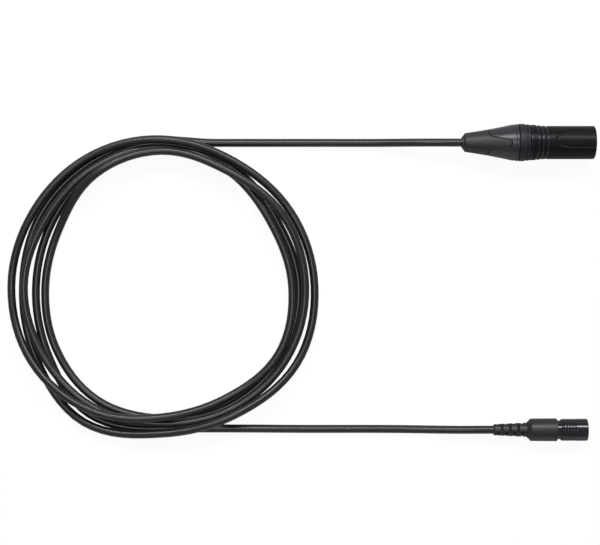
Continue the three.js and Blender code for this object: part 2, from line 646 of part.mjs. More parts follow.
function makeRelief() {
  let relief = turned([
    [0, CABLE_BORE],
    [0, RELIEF_REAR_RADIUS - 0.4],
    [RELIEF_EDGE, RELIEF_REAR_RADIUS],
    [RELIEF_LENGTH, RELIEF_FRONT_RADIUS],
    [RELIEF_LENGTH, RELIEF_NECK],
    [RELIEF_FLANGE_START, RELIEF_NECK],
    [RELIEF_FLANGE_START, RELIEF_FLANGE_RADIUS],
    [RELIEF_FRONT, RELIEF_FLANGE_RADIUS],
    [RELIEF_FRONT, CABLE_BORE],
  ], PLUG_ROUND);
  for (let i = 0; i < RELIEF_SLOTS; i++) {
    const middle = RELIEF_SLOT_FIRST + i * RELIEF_SLOT_PITCH;
    const from = middle - RELIEF_SLOT_WIDTH / 2;
    const to = middle + RELIEF_SLOT_WIDTH / 2;
    const wide = RELIEF_FRONT_RADIUS + OVERCUT;
    const ring = tube(from, to, wide, RELIEF_SLOT_FLOOR, PLUG_ROUND / 2);
    const side = block(from - OVERCUT, to + OVERCUT, 2 * wide, RELIEF_SLOT_END, wide);
    const slot = ring.intersect(side.add(side.rotate([180, 0, 0])));
    relief = relief.subtract(slot.rotate([RELIEF_ROLLS[i % 2], 0, 0]));
  }
  return relief;
}

function makeGrip() {
  const end = GRIP_START + GRIP_LENGTH;
  const pocketStart = GRIP_START + GRIP_LIP;
  return turned([
    [GRIP_START, RELIEF_NECK + FIT],
    [GRIP_START, GRIP_REAR_RADIUS],
    [GRIP_START + GRIP_CONE - 0.3, GRIP_RADIUS - GRIP_TAPER - 0.35],
    [GRIP_START + GRIP_CONE, GRIP_RADIUS - GRIP_TAPER],
    ...roundedEdge(end - GRIP_EDGE, end, GRIP_RADIUS, GRIP_EDGE),
    [end, LOCK_BORE],
    [RELIEF_FRONT, LOCK_BORE],
    [RELIEF_FRONT, RELIEF_FLANGE_RADIUS + FIT],
    [pocketStart, RELIEF_FLANGE_RADIUS + FIT],
    [pocketStart, RELIEF_NECK + FIT],
  ], PLUG_ROUND);
}

function makeCoreTube() {
  return turned([
    [CORE_TUBE_START, CORE_TUBE_BORE],
    [CORE_TUBE_START, CORE_TUBE_RADIUS],
    [CORE_NOSE_START, CORE_TUBE_RADIUS],
    [CORE_NOSE_START, CORE_NOSE_RADIUS],
    [CLIP_START - FIT, CORE_NOSE_RADIUS],
    [CLIP_START - FIT, CLIP_GROOVE_RADIUS],
    [CLIP_START + CLIP_WIDTH + FIT, CLIP_GROOVE_RADIUS],
    [CLIP_START + CLIP_WIDTH + FIT, CORE_NOSE_RADIUS],
    [CORE_NOSE_END, CORE_NOSE_RADIUS],
    [CORE_NOSE_END, CORE_TUBE_BORE],
  ], PLUG_ROUND);
}

function makeLockSleeve() {
  const end = LOCK_START + LOCK_LENGTH;
  const points = [[LOCK_START, LOCK_REAR_RADIUS], [LOCK_START + LOCK_FLARE, LOCK_RADIUS]];
  for (let i = 0; i < LOCK_GROOVES; i++) {
    const middle = LOCK_START + LOCK_GROOVE_FIRST + i * LOCK_GROOVE_PITCH;
    const half = LOCK_GROOVE_WIDTH / 2;
    points.push([middle - half, LOCK_RADIUS]);
    points.push([middle, LOCK_RADIUS - LOCK_GROOVE_DEPTH]);
    points.push([middle + half, LOCK_RADIUS]);
  }
  const ribStart = LOCK_START + LOCK_RIB_START;
  const ribEnd = ribStart + LOCK_RIB_WIDTH;
  return turned([
    ...points,
    [end - LOCK_EDGE, LOCK_RADIUS],
    [end, LOCK_RADIUS - LOCK_EDGE],
    [end, LOCK_BORE],
    [ribEnd, LOCK_BORE],
    [ribEnd, CORE_NOSE_RADIUS + FIT],
    [ribStart, CORE_NOSE_RADIUS + FIT],
    [ribStart, LOCK_BORE],
    [LOCK_START, LOCK_BORE],
  ], PLUG_ROUND);
}

// The spring that pushes the sleeve forward, drawn as short as it is with the sleeve pulled back.
function makeLockSpring() {
  const from = CORE_NOSE_START + FIT + SPRING_WIRE;
  const to = LOCK_START + LOCK_RIB_START - LOCK_TRAVEL - FIT - SPRING_WIRE;
  const radius = (CORE_NOSE_RADIUS + LOCK_BORE) / 2;
  const steps = SPRING_CURLS * SPRING_STEPS;
  const rings = [];
  for (let i = 0; i <= steps; i++) {
    const turn = (i / SPRING_STEPS) * Math.PI * 2;
    rings.push([from + ((to - from) * i) / steps, radius * Math.cos(turn), radius * Math.sin(turn)]);
  }
  return ringTube(rings, SPRING_WIRE, SPRING_SIDES, new THREE.Vector3(1, 0, 0));
}

function makePlugInsert() {
  let insert = rod(PLUG_INSERT_START, PLUG_INSERT_END, CORE_TUBE_BORE - FIT, PLUG_ROUND);
  for (let i = 0; i < CORES; i++) {
    const [y, z] = onCircle(SOCKET_CIRCLE, socketAngle(i));
    const hole = rod(PLUG_INSERT_START - 1, PLUG_INSERT_END + 1, SOCKET_RADIUS + FIT, THIN_ROUND);
    insert = insert.subtract(hole.translate([0, y, z]));
  }
  return insert;
}

const socketAngle = (index) => 90 + (360 / CORES) * (index + 0.5);
const SOCKET_CUP_REAR = PLUG_INSERT_START - FIT - SOCKET_CUP_LENGTH;

function makeSocket(index) {
  const [y, z] = onCircle(SOCKET_CIRCLE, socketAngle(index));
  const shoulder = PLUG_INSERT_START - FIT;
  const web = shoulder - SOCKET_WEB;
  const body = turned([
    [SOCKET_CUP_REAR, SOCKET_CUP_BORE],
    [SOCKET_CUP_REAR, SOCKET_CUP_RADIUS],
    [shoulder, SOCKET_CUP_RADIUS],
    [shoulder, SOCKET_RADIUS],
    [PLUG_INSERT_END - FIT, SOCKET_RADIUS],
    [PLUG_INSERT_END - FIT, SOCKET_BORE],
    [shoulder + 1, SOCKET_BORE],
    [shoulder + 1, 0],
    [web, 0],
    [web, SOCKET_CUP_BORE],
  ], THIN_ROUND);
  return body.translate([0, y, z]);
}

function makeFerrule() {
  return turned([
    [FERRULE_START, CABLE_BORE],
    [FERRULE_START, CORE_TUBE_RADIUS],
    [FERRULE_START + FERRULE_FLANGE, CORE_TUBE_RADIUS],
    [FERRULE_START + FERRULE_FLANGE, FERRULE_RADIUS],
    [FERRULE_START + FERRULE_LENGTH, FERRULE_RADIUS],
    [FERRULE_START + FERRULE_LENGTH, CABLE_BORE],
  ], PLUG_ROUND);
}

function addPlug() {
  const plug = new THREE.Group();
  plug.position.set(PLUG_REAR_X, PLUG_AXIS_Y, PLUG_AXIS_Z);
  group.add(plug);
  const clipInner = CLIP_GROOVE_RADIUS + FIT;
  const clip = tube(CLIP_START, CLIP_START + CLIP_WIDTH, CORE_TUBE_RADIUS, clipInner, PLUG_ROUND);
  place(plug, 'plug_relief', makeRelief(), 0x1d1d20, 0.7, 0);
  place(plug, 'plug_grip', makeGrip(), 0x1b1b1e, 0.65, 0);
  place(plug, 'plug_core_tube', makeCoreTube(), 0x1a1a1d, 0.25, 0.9);
  place(plug, 'plug_lock_sleeve', makeLockSleeve(), 0x141417, 0.2, 0.9);
  place(plug, 'plug_lock_spring', makeLockSpring(), 0xa9a9a6, 0.3, 1);
  place(plug, 'plug_stop_clip', clip, 0x8d8d8a, 0.3, 1);
  place(plug, 'plug_insert', makePlugInsert(), 0x121214, 0.6, 0);
  place(plug, 'plug_ferrule', makeFerrule(), 0xb5b2a8, 0.35, 1);
  place(plug, 'plug_cable_end', rod(0, PLUG_JACKET_END, CABLE_RADIUS, THIN_ROUND), 0x161618, 0.5, 0);
  for (let i = 0; i < CORES; i++) {
    place(plug, `plug_socket_${i + 1}`, makeSocket(i), 0xc9b27a, 0.3, 1);
    const coreEnd = PLUG_INSERT_START - FIT - SOCKET_WEB - FIT;
    const core = makeCore(PLUG_JACKET_END + FIT, coreEnd, SOCKET_CIRCLE, socketAngle(i), socketAngle(i));
    place(plug, `plug_core_${i + 1}`, core, CORE_COLOURS[i], 0.5, 0);
  }
}

// ---------------------------------------------------------------- cable
// A closed tube through the given points, with its section square to the path.
function ringTube(points, radius, sides, upward) {
  const middles = points.map((p) => new THREE.Vector3(...p));
  const places = [];
  middles.forEach((middle, i) => {
    const before = middles[Math.max(i - 1, 0)];
    const after = middles[Math.min(i + 1, middles.length - 1)];
    const forward = after.clone().sub(before).normalize();
    const across = new THREE.Vector3().crossVectors(upward, forward).normalize();
    const up = new THREE.Vector3().crossVectors(forward, across);
    for (let k = 0; k < sides; k++) {
      const turn = ((k + 0.5) / sides) * Math.PI * 2;
      const point = middle.clone().addScaledVector(across, radius * Math.cos(turn));
      point.addScaledVector(up, radius * Math.sin(turn));
      places.push(point.x, point.y, point.z);
    }
  });
  const corners = [];
  for (let i = 0; i < middles.length - 1; i++) {
    for (let k = 0; k < sides; k++) {
      const a = i * sides + k;
      const b = i * sides + ((k + 1) % sides);
      corners.push(a, b, a + sides, b, b + sides, a + sides);
    }
  }
  const last = (middles.length - 1) * sides;
  for (let k = 1; k < sides - 1; k++) {
    corners.push(0, k + 1, k, last, last + k, last + k + 1);
  }
  const geometry = new THREE.BufferGeometry();
  geometry.setAttribute('position', new THREE.BufferAttribute(new Float32Array(places), 3));
  geometry.setIndex(corners);
  return toManifold(geometry);
}

// A smooth value between the stations of a list, which runs on from loop to loop.
function between(values, station) {
  const start = Math.min(Math.floor(station), values.length - 2);
  const share = station - start;
  const at = (k) => values[Math.min(Math.max(k, 0), values.length - 1)];
  const [a, b, c, d] = [at(start - 1), at(start), at(start + 1), at(start + 2)];
  const bend = (2 * a - 5 * b + 4 * c - d) * share + (3 * b - a - 3 * c + d) * share * share;
  return 0.5 * (2 * b + (c - a) * share + bend * share);
}

// The coil's path: a straight lead in, the loops, and a straight lead out.
function coilPoints(stepsPerLoop) {
  const offsets = LOOP_OFFSETS.flat();
  const lifts = LOOP_LIFTS.flat();
  const loops = [];
  const steps = Math.round(((offsets.length - 1) / STATIONS) * stepsPerLoop);
  for (let i = 0; i <= steps; i++) {
    const station = (i / stepsPerLoop) * STATIONS;
    const turn = (i / stepsPerLoop) * Math.PI * 2;
    const radius = COIL_RADIUS + between(offsets, station);
    const height = CABLE_RADIUS + Math.max(between(lifts, station), 0) * CABLE_DIAMETER;
    loops.push([COIL_X - radius * Math.sin(turn), COIL_Y + radius * Math.cos(turn), height]);
  }
  const lead = [];
  const first = loops[0];
  for (let i = 0; i < COIL_LEAD_STEPS; i++) {
    const share = i / COIL_LEAD_STEPS;
    const x = COIL_END_X + (COIL_X - COIL_END_X) * share;
    const ease = share * share * (3 - 2 * share);
    lead.push([x, COIL_ENTRY_Y + (first[1] - COIL_ENTRY_Y) * ease, CABLE_RADIUS]);
  }
  lead.splice(1, 0, [COIL_END_X - CABLE_DIAMETER, COIL_ENTRY_Y, CABLE_RADIUS]);
  const exitPlaces = [(COIL_X + COIL_END_X) / 2, COIL_END_X - CABLE_DIAMETER, COIL_END_X];
  const exit = exitPlaces.map((x) => [x, COIL_EXIT_Y, CABLE_RADIUS]);
  return [...lead, ...loops, ...exit];
}

// The least distance between two stretches of the path that lie more than a few diameters apart along it.
function leastGap(points) {
  const middles = points.map((p) => new THREE.Vector3(...p));
  const along = [0];
  for (let i = 1; i < middles.length; i++) along.push(along[i - 1] + middles[i].distanceTo(middles[i - 1]));
  let least = Infinity;
  for (let i = 0; i < middles.length; i++) {
    for (let k = i + 1; k < middles.length; k++) {
      if (along[k] - along[i] < 6 * CABLE_DIAMETER) continue;
      least = Math.min(least, middles[i].distanceTo(middles[k]));
    }
  }
  return { gap: least - CABLE_DIAMETER, length: along[along.length - 1] };
}

// The straight pieces between the coil's rings, cut finely, as the solid has them.
function chords(points, parts) {
  const fine = [];
  for (let i = 0; i < points.length - 1; i++) {
    for (let k = 0; k < parts; k++) {
      const share = k / parts;
      fine.push(points[i].map((value, axis) => value + (points[i + 1][axis] - value) * share));
    }
  }
  fine.push(points[points.length - 1]);
  return fine;
}

function pathLength(points) {
  const path = new THREE.CatmullRomCurve3(points.map((p) => new THREE.Vector3(...p)));
  return path.getLength();
}

function addCable() {
  const coil = coilPoints(COIL_STEPS);
  const { gap } = leastGap(chords(coil, 6));
  const { length } = leastGap(coilPoints(COIL_STEPS * 4));
  const free = length + pathLength(XLR_TAIL_POINTS) + pathLength(PLUG_TAIL_POINTS);
  console.log(`coil: least gap to itself ${gap.toFixed(2)} mm`);
  console.log(`cable: ${free.toFixed(0)} mm free, ${length.toFixed(0)} mm of it in the coil`);
  const up = new THREE.Vector3(0, 0, 1);
  const xlrTail = alongPath(XLR_TAIL_POINTS, CABLE_RADIUS, XLR_TAIL_STEPS, TAIL_SIDES);
  const plugTail = alongPath(PLUG_TAIL_POINTS, CABLE_RADIUS, PLUG_TAIL_STEPS, TAIL_SIDES);
  place(group, 'cable_coil', ringTube(coil, CABLE_RADIUS, COIL_SIDES, up), 0x19191b, 0.5, 0);
  place(group, 'cable_tail_xlr', xlrTail, 0x19191b, 0.5, 0);
  place(group, 'cable_tail_plug', plugTail, 0x19191b, 0.5, 0);
}

addXlr();
addPlug();
addCable();

export default group;
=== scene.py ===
"""A coiled audio lead on a white table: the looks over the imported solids. Millimetres here, metres in
Blender, +X to the right, +Y towards the top of the picture, +Z up."""
import math

import bpy
import numpy as np
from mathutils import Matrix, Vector


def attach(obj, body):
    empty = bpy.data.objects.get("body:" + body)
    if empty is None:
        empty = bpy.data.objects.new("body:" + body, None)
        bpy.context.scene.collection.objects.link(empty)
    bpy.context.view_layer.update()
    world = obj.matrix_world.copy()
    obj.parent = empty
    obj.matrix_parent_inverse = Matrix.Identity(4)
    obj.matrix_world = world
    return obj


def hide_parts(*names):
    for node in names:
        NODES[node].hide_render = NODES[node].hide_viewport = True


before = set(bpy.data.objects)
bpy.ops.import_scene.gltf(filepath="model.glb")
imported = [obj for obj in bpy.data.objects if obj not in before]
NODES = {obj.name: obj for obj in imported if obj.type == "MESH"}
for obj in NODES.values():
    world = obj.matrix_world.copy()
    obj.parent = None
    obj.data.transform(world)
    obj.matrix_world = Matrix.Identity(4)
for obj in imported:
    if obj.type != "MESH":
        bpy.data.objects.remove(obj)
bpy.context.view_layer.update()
MM = 0.001
FIT = 0.3                       # gap between two pieces that touch or run on each other

# ------------------------------------------------------------------ camera
CAMERA_HEIGHT = 850.0
CAMERA_X = 0.75
CAMERA_Y = 5.8
VIEW_WIDTH = 348.8              # how much of the table the picture takes in, from side to side
SENSOR_WIDTH = 36.0
NEAREST_SEEN, FARTHEST_SEEN = 0.01, 20.0    # in metres


def make_camera():
    data = bpy.data.cameras.new("camera")
    data.sensor_width = SENSOR_WIDTH
    data.lens = SENSOR_WIDTH * CAMERA_HEIGHT / VIEW_WIDTH
    data.clip_start, data.clip_end = NEAREST_SEEN, FARTHEST_SEEN
    camera = bpy.data.objects.new("camera", data)
    camera.location = Vector((CAMERA_X, CAMERA_Y, CAMERA_HEIGHT)) * MM
    bpy.context.collection.objects.link(camera)
    bpy.context.scene.camera = camera


make_camera()

# ------------------------------------------------------------------ cable
CABLE_DIAMETER = 4.7
CABLE_RADIUS = CABLE_DIAMETER / 2
COIL_X, COIL_Y, COIL_RADIUS = -79.0, -2.3, 80.0
STATIONS = 12                   # places round a loop where its path is given
COIL_END_X = -48.0              # both straight ends stop here
COIL_STEPS = 96                 # points in a loop
LEAD_STEPS = 16
WAY_OUT_STEPS = 4
CABLE_ROUNDNESS = 6
LOOP_OFFSETS = [
    [5, 3, 1.9, 0.9, 4.3, 10.5, 4.6, 4.8, 9.7, 8.2, 6, 3.3],
    [4.4, 5.7, 5.8, 7.5, 6.4, 1.5, -5, -5.7, -2.2, -4.8, -7, -3],
    [0.5, -1.5, -2.7, -0.7, -1, -0.1, -1, 1.3, 3.1, 2.8, 1.2, -3.5],
    [-2.2, -5.5, -11.5, -12.1, -8.6, -4.1, -3.5, -1, 0, -1, -3.4, 0],
    [-0.5, -2.5, -6, -6.7, -3, 5.2, 2.3],
]
LOOP_LIFTS = [
    [0, 0, 0, 0, 0, 0.5, 1.4, 2.2, 0.5, 0, 0, 1.1],
    [2.2, 1.1, 0.8, 0.1, 1.2, 2.3, 2, 1, 1.2, 1, 1.1, 1.2],
    [1.1, 1.2, 1.1, 1.2, 1.1, 1.2, 1.1, 1.1, 1.1, 0.9, 1.6, 2.4],
    [2.2, 2.3, 0.3, 0, 0, 0, 0, 0, 0, 0, 0, 0],
    [0, 0, 0, 0, 0, 0, 0],
]
COIL_ENTRY_OFFSET = 3.25        # how far outside the coil's radius the cable runs in
ENTRY_Y = COIL_Y + COIL_RADIUS + COIL_ENTRY_OFFSET
EXIT_Y = COIL_Y - COIL_RADIUS - LOOP_OFFSETS[-1][-1]
XLR_DRIFT, PLUG_DRIFT = 0.55, 0.3       # how much nearer the viewer each connector lies than the coil's end
COLLAR_RADIUS = 10.68           # the large connector lies on its collar ring
GRIP_RADIUS = 6.58              # the small plug lies on its grip
XLR_REAR_X, XLR_AXIS_Y, XLR_AXIS_Z = 93.5, ENTRY_Y - XLR_DRIFT, COLLAR_RADIUS
PLUG_REAR_X, PLUG_AXIS_Y, PLUG_AXIS_Z = 112.35, EXIT_Y - PLUG_DRIFT, GRIP_RADIUS
XLR_TAIL = [
    (COIL_END_X, ENTRY_Y, CABLE_RADIUS), (-40, ENTRY_Y, CABLE_RADIUS), (-30, ENTRY_Y, CABLE_RADIUS),
    (-18, ENTRY_Y, CABLE_RADIUS), (-6, ENTRY_Y, CABLE_RADIUS), (6, ENTRY_Y, CABLE_RADIUS),
    (18, ENTRY_Y, CABLE_RADIUS), (28, ENTRY_Y - 0.02, CABLE_RADIUS),
    (37, ENTRY_Y - 0.05, CABLE_RADIUS + 0.2), (45, ENTRY_Y - 0.1, 3.4), (53, ENTRY_Y - 0.2, 5.1),
    (61, ENTRY_Y - 0.3, 7.15), (68, ENTRY_Y - 0.4, 8.8), (74, ENTRY_Y - 0.48, 9.95),
    (79, ENTRY_Y - 0.53, 10.5), (83, XLR_AXIS_Y, XLR_AXIS_Z), (87, XLR_AXIS_Y, XLR_AXIS_Z),
    (90, XLR_AXIS_Y, XLR_AXIS_Z), (XLR_REAR_X, XLR_AXIS_Y, XLR_AXIS_Z),
]
PLUG_TAIL = [
    (COIL_END_X, EXIT_Y, CABLE_RADIUS), (-40, EXIT_Y, CABLE_RADIUS), (-30, EXIT_Y - 0.05, CABLE_RADIUS),
    (-18, EXIT_Y - 0.1, CABLE_RADIUS), (-6, EXIT_Y - 0.2, CABLE_RADIUS), (6, EXIT_Y - 0.25, CABLE_RADIUS),
    (18, EXIT_Y - 0.25, CABLE_RADIUS), (30, EXIT_Y - 0.25, CABLE_RADIUS), (42, EXIT_Y - 0.25, CABLE_RADIUS),
    (54, EXIT_Y - 0.3, CABLE_RADIUS), (63, EXIT_Y - 0.38, CABLE_RADIUS + 0.15), (72, EXIT_Y - 0.45, 3.05),
    (80, EXIT_Y - 0.48, 4.05), (88, EXIT_Y - 0.45, 5.2), (95, EXIT_Y - 0.4, 6.1), (101, EXIT_Y - 0.33, 6.5),
    (105, PLUG_AXIS_Y, PLUG_AXIS_Z), (109, PLUG_AXIS_Y, PLUG_AXIS_Z),
    (PLUG_REAR_X, PLUG_AXIS_Y, PLUG_AXIS_Z),
]
TAIL_STEPS = 5                  # points of the smooth line between two chosen ones


def between(values, station):
    """A smooth value between the stations of a list of numbers or points."""
    start = min(int(station), len(values) - 2)
    share = station - start
    a, b, c, d = (values[min(max(k, 0), len(values) - 1)] for k in range(start - 1, start + 3))
    bend = (2 * a - 5 * b + 4 * c - d) * share + (3 * b - a - 3 * c + d) * share * share
    return 0.5 * (2 * b + (c - a) * share + bend * share)


def coil_points():
    """The coil's path, with the lead that eases into it and the straight way out of it."""
    offsets = [value for loop in LOOP_OFFSETS for value in loop]
    lifts = [value for loop in LOOP_LIFTS for value in loop]
    loops = []
    steps = round((len(offsets) - 1) / STATIONS * COIL_STEPS)
    for i in range(steps + 1):
        station = i / COIL_STEPS * STATIONS
        turn = i / COIL_STEPS * 2 * math.pi
        radius = COIL_RADIUS + between(offsets, station)
        height = CABLE_RADIUS + max(between(lifts, station), 0) * CABLE_DIAMETER
        loops.append(Vector((COIL_X - radius * math.sin(turn), COIL_Y + radius * math.cos(turn), height)))
    lead = []
    for i in range(1, LEAD_STEPS):
        share = i / LEAD_STEPS
        ease = share * share * (3 - 2 * share)
        x = COIL_END_X + (COIL_X - COIL_END_X) * share
        lead.append(Vector((x, ENTRY_Y + (loops[0].y - ENTRY_Y) * ease, CABLE_RADIUS)))
    way_out = []
    for i in range(1, WAY_OUT_STEPS):
        x = COIL_X + (COIL_END_X - COIL_X) * i / WAY_OUT_STEPS
        way_out.append(Vector((x, loops[-1].y, CABLE_RADIUS)))
    return lead + loops + way_out


def smooth_line(points):
    points = [Vector(p) for p in points]
    return [between(points, i / TAIL_STEPS) for i in range((len(points) - 1) * TAIL_STEPS + 1)]


def cable_line():
    """The whole cable, from the large connector to the small plug."""
    return smooth_line(XLR_TAIL)[::-1] + coil_points() + smooth_line(PLUG_TAIL)


def make_cable(material):
    line = cable_line()
    curve = bpy.data.curves.new("cable", "CURVE")
    curve.dimensions = "3D"
    curve.bevel_depth = CABLE_RADIUS * MM
    curve.bevel_resolution = CABLE_ROUNDNESS
    curve.twist_mode = "Z_UP"
    spline = curve.splines.new("POLY")
    spline.points.add(len(line) - 1)
    for point, place in zip(spline.points, line):
        point.co = (*(place * MM), 1)
    spline.use_smooth = True
    cable = bpy.data.objects.new("cable", curve)
    bpy.context.collection.objects.link(cable)
    curve.materials.append(material)
    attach(cable, "cable")
    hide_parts("cable_coil", "cable_tail_xlr", "cable_tail_plug")
    return cable


# ------------------------------------------------------------------ materials
GRAIN_DETAIL = 3
PATCH_SCALE, PATCH_DETAIL = 45, 5
TINT = 0.12                     # how far the slow patches are from the colour, to either side
LEAST_ROUGHNESS = 0.03


def surface(name, colour, roughness, metallic=0.0, grain=1500, bump=0.2, depth=0.02, variation=0.08,
            specular=0.5):
    """A solid material with fine grain in its relief, and slow patches in its gloss and colour."""
    material = bpy.data.materials.new(name)
    material.use_nodes = True
    nodes, links = material.node_tree.nodes, material.node_tree.links
    shader = nodes["Principled BSDF"]
    shader.inputs["Metallic"].default_value = metallic
    shader.inputs["Specular IOR Level"].default_value = specular
    place = nodes.new("ShaderNodeTexCoord")
    fine = nodes.new("ShaderNodeTexNoise")
    fine.inputs["Scale"].default_value = grain
    fine.inputs["Detail"].default_value = GRAIN_DETAIL
    links.new(place.outputs["Object"], fine.inputs["Vector"])
    slow = nodes.new("ShaderNodeTexNoise")
    slow.inputs["Scale"].default_value = PATCH_SCALE
    slow.inputs["Detail"].default_value = PATCH_DETAIL
    links.new(place.outputs["Object"], slow.inputs["Vector"])
    relief = nodes.new("ShaderNodeBump")
    relief.inputs["Strength"].default_value = bump
    relief.inputs["Distance"].default_value = depth * MM
    links.new(fine.outputs["Fac"], relief.inputs["Height"])
    links.new(relief.outputs["Normal"], shader.inputs["Normal"])
    gloss = nodes.new("ShaderNodeMapRange")
    gloss.inputs["To Min"].default_value = max(roughness - variation, LEAST_ROUGHNESS)
    gloss.inputs["To Max"].default_value = min(roughness + variation, 1)
    links.new(slow.outputs["Fac"], gloss.inputs["Value"])
    links.new(gloss.outputs["Result"], shader.inputs["Roughness"])
    shade = nodes.new("ShaderNodeMix")
    shade.data_type = "RGBA"
    shade.inputs["A"].default_value = (*[c * (1 - TINT) for c in colour], 1)
    shade.inputs["B"].default_value = (*[min(c * (1 + TINT), 1) for c in colour], 1)
    links.new(slow.outputs["Fac"], shade.inputs["Factor"])
    links.new(shade.outputs["Result"], shader.inputs["Base Color"])
    return material


# ------------------------------------------------------------------ turned pieces
CORNER_STEPS = 4
LEAST_CUT = 0.005               # a corner with less rounding stays sharp
MOST_CUT = 0.45                 # the share of the stretches beside a corner that its rounding may take
HEM = 0.06                      # from the end of a long stretch to its first point
TURNS = 160                     # points round a turned piece


def rounded(loop):
    """A closed outline of (along, radius, rounding) with each corner cut back by its rounding and curved."""
    points = []
    count = len(loop)
    for i in range(count):
        before, here, after = (np.array(loop[(i + k) % count][:2], float) for k in (-1, 0, 1))
        rounding = loop[i][2] if len(loop[i]) > 2 else 0.0
        back, ahead = before - here, after - here
        cut = min(rounding, MOST_CUT * np.linalg.norm(back), MOST_CUT * np.linalg.norm(ahead))
        if cut < LEAST_CUT:
            points.append(here)
            continue
        start = here + back / np.linalg.norm(back) * cut
        end = here + ahead / np.linalg.norm(ahead) * cut
        for k in range(CORNER_STEPS + 1):
            share = k / CORNER_STEPS
            points.append((1 - share) ** 2 * start + 2 * share * (1 - share) * here + share ** 2 * end)
    return points


def refined(points, step):
    """The same closed outline with a point close to both ends of each long stretch, and one every step."""
    out = []
    count = len(points)
    for i in range(count):
        a, b = points[i], points[(i + 1) % count]
        length = np.linalg.norm(b - a)
        out.append(a)
        if length > 4 * HEM:
            inner = max(1, math.ceil((length - 2 * HEM) / step))
            out += [a + (b - a) * ((HEM + (length - 2 * HEM) * k / inner) / length) for k in range(inner + 1)]
    return out


def ring_mesh(name, rows, material, body, replaces, origin, second=None, where=None):
    """A closed solid through rings of points: rows[k][i] is point k of the outline at angle i, as
    (along, across, up) from the piece's axis. The second material goes where that table is true."""
    grid = np.array(rows)
    outline_count, turn_count = grid.shape[:2]
    places = (grid.reshape(-1, 3) + np.array(origin)) * MM
    k, i = np.meshgrid(np.arange(outline_count), np.arange(turn_count), indexing="ij")
    next_k, next_i = (k + 1) % outline_count, (i + 1) % turn_count
    faces = np.stack([k * turn_count + i, k * turn_count + next_i,
                      next_k * turn_count + next_i, next_k * turn_count + i], axis=-1).reshape(-1, 4)
    mesh = bpy.data.meshes.new(name)
    mesh.from_pydata(places.tolist(), [], faces.tolist())
    mesh.update()
    mesh.polygons.foreach_set("use_smooth", np.ones(len(faces), bool))
    mesh.materials.append(material)
    if second:
        mesh.materials.append(second)
        mesh.polygons.foreach_set("material_index", where.reshape(-1).astype(np.int32))
    piece = bpy.data.objects.new(name, mesh)
    bpy.context.collection.objects.link(piece)
    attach(piece, body)
    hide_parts(*replaces)
    return piece


def turned(name, loop, material, body, node, origin, turns=TURNS, step=1.0, carve=None,
           second=None, where=None):
    """A turned piece from its closed outline of (along, radius, rounding). carve changes the radius by
    place along and angle, and where says which places have the second material."""
    points = np.array(refined(rounded(loop), step))
    angle = np.arange(turns) * 2 * math.pi / turns
    along = np.repeat(points[:, :1], turns, axis=1)
    radius = np.repeat(points[:, 1:], turns, axis=1)
    before = radius
    if carve:
        radius = carve(along, np.repeat(angle[None, :], len(points), axis=0), radius)
    chosen = where(along, radius, before) if where else None
    rows = np.stack([along, radius * np.cos(angle), radius * np.sin(angle)], axis=-1)
    return ring_mesh(name, rows, material, body, [node], origin, second, chosen)


def smooth_step(value):
    share = np.clip(value, 0, 1)
    return share * share * (3 - 2 * share)


# ------------------------------------------------------------------ large connector
XLR = (XLR_REAR_X, XLR_AXIS_Y, XLR_AXIS_Z)
CABLE_BORE = CABLE_RADIUS + FIT
BOOT_LENGTH = 31.9
BOOT_REAR_RADIUS = 3.1
BOOT_CHAMFER_END, BOOT_CHAMFER_RADIUS = 1.8, 5.4
BOOT_TAPER_END, BOOT_TAPER_RADIUS = 28.5, 10.2
BOOT_FRONT_RADIUS = 10.6
BOOT_SWELL = 0.23               # how much of the taper is curved
BOOT_GROOVE_FROM, BOOT_GROOVE_TO, BOOT_GROOVE_DEPTH = 30.2, 30.8, 0.45
BEFORE_GROOVE = (28.0, 10.1)    # a place on the boot's side, behind its groove
BOOT_CAVITY_START, BOOT_CAVITY_REAR_RADIUS, BOOT_CAVITY_FULL = 12.0, 3.2, 26.0
BOOT_ROLL = math.radians(7.5)   # how the boot happens to be turned on its thread
SLEEVE_WALL = 1.4               # soft skin over the hard boot
SLEEVE_CAP = 1.7                # its thickness at the cable end
SKIN_EDGE_ROUND, BOOT_EDGE_ROUND = 0.28, 0.2    # along the curve where the skin and the boot meet
EDGE_TURNS = np.linspace(0, math.pi / 2, 6)
CHAMFER_BLEND, CHAMFER_DROP = 0.35, 0.12        # how the chamfer's front edge is softened, along and down
SKIN_REAR_STEP = 0.4
SKIN_STEPS, SKIN_INSIDE_STEPS = 46, 12
BOOT_INSIDE_STEPS, BOOT_STEPS, NECK_STEPS = 12, 36, 96
TONGUE_ROOT, TONGUE_TIP = 15.0, 27.65
TONGUE_ROOT_HALF, TONGUE_END_HALF, TONGUE_NOSE = 3.85, 2.3, 2.6
TONGUE_CORNER_LENGTH, TONGUE_CORNER_WIDTH = 1.7, 2.4
TONGUE_REAR_STEPS, TONGUE_CORNER_STEPS, TONGUE_SIDE_STEPS, TONGUE_NOSE_STEPS = 14, 16, 40, 24
NECK_LENGTH, NECK_RADIUS, NECK_BORE = 12.0, 8.2, 6.8
NECK_CHAMFER = 0.2
NECK_REAR_MARGIN, NECK_MARGINS = 0.1, 0.3       # left free by the thread's rows, at the rear and in all
THREAD_PITCH, THREAD_DEPTH = 1.5, 0.35
THREAD_STEEPNESS, THREAD_FLOOR = 1.7, 0.35      # the thread's section: its flanks, and its flat floor
THREAD_REAR_GAP, THREAD_FRONT_GAP, THREAD_FADE = 0.8, 0.3, 1.2
RING_GROOVE_RADIUS, RING_FLANGE_RADIUS = 9.7, 10.4
RING_CROWN = 0.1                # radius lost at the edges of the land and the flange
RING_LAND_CROWN_WIDTH, RING_FLANGE_CROWN_WIDTH = 0.5, 0.4
RING_TURNS = 200
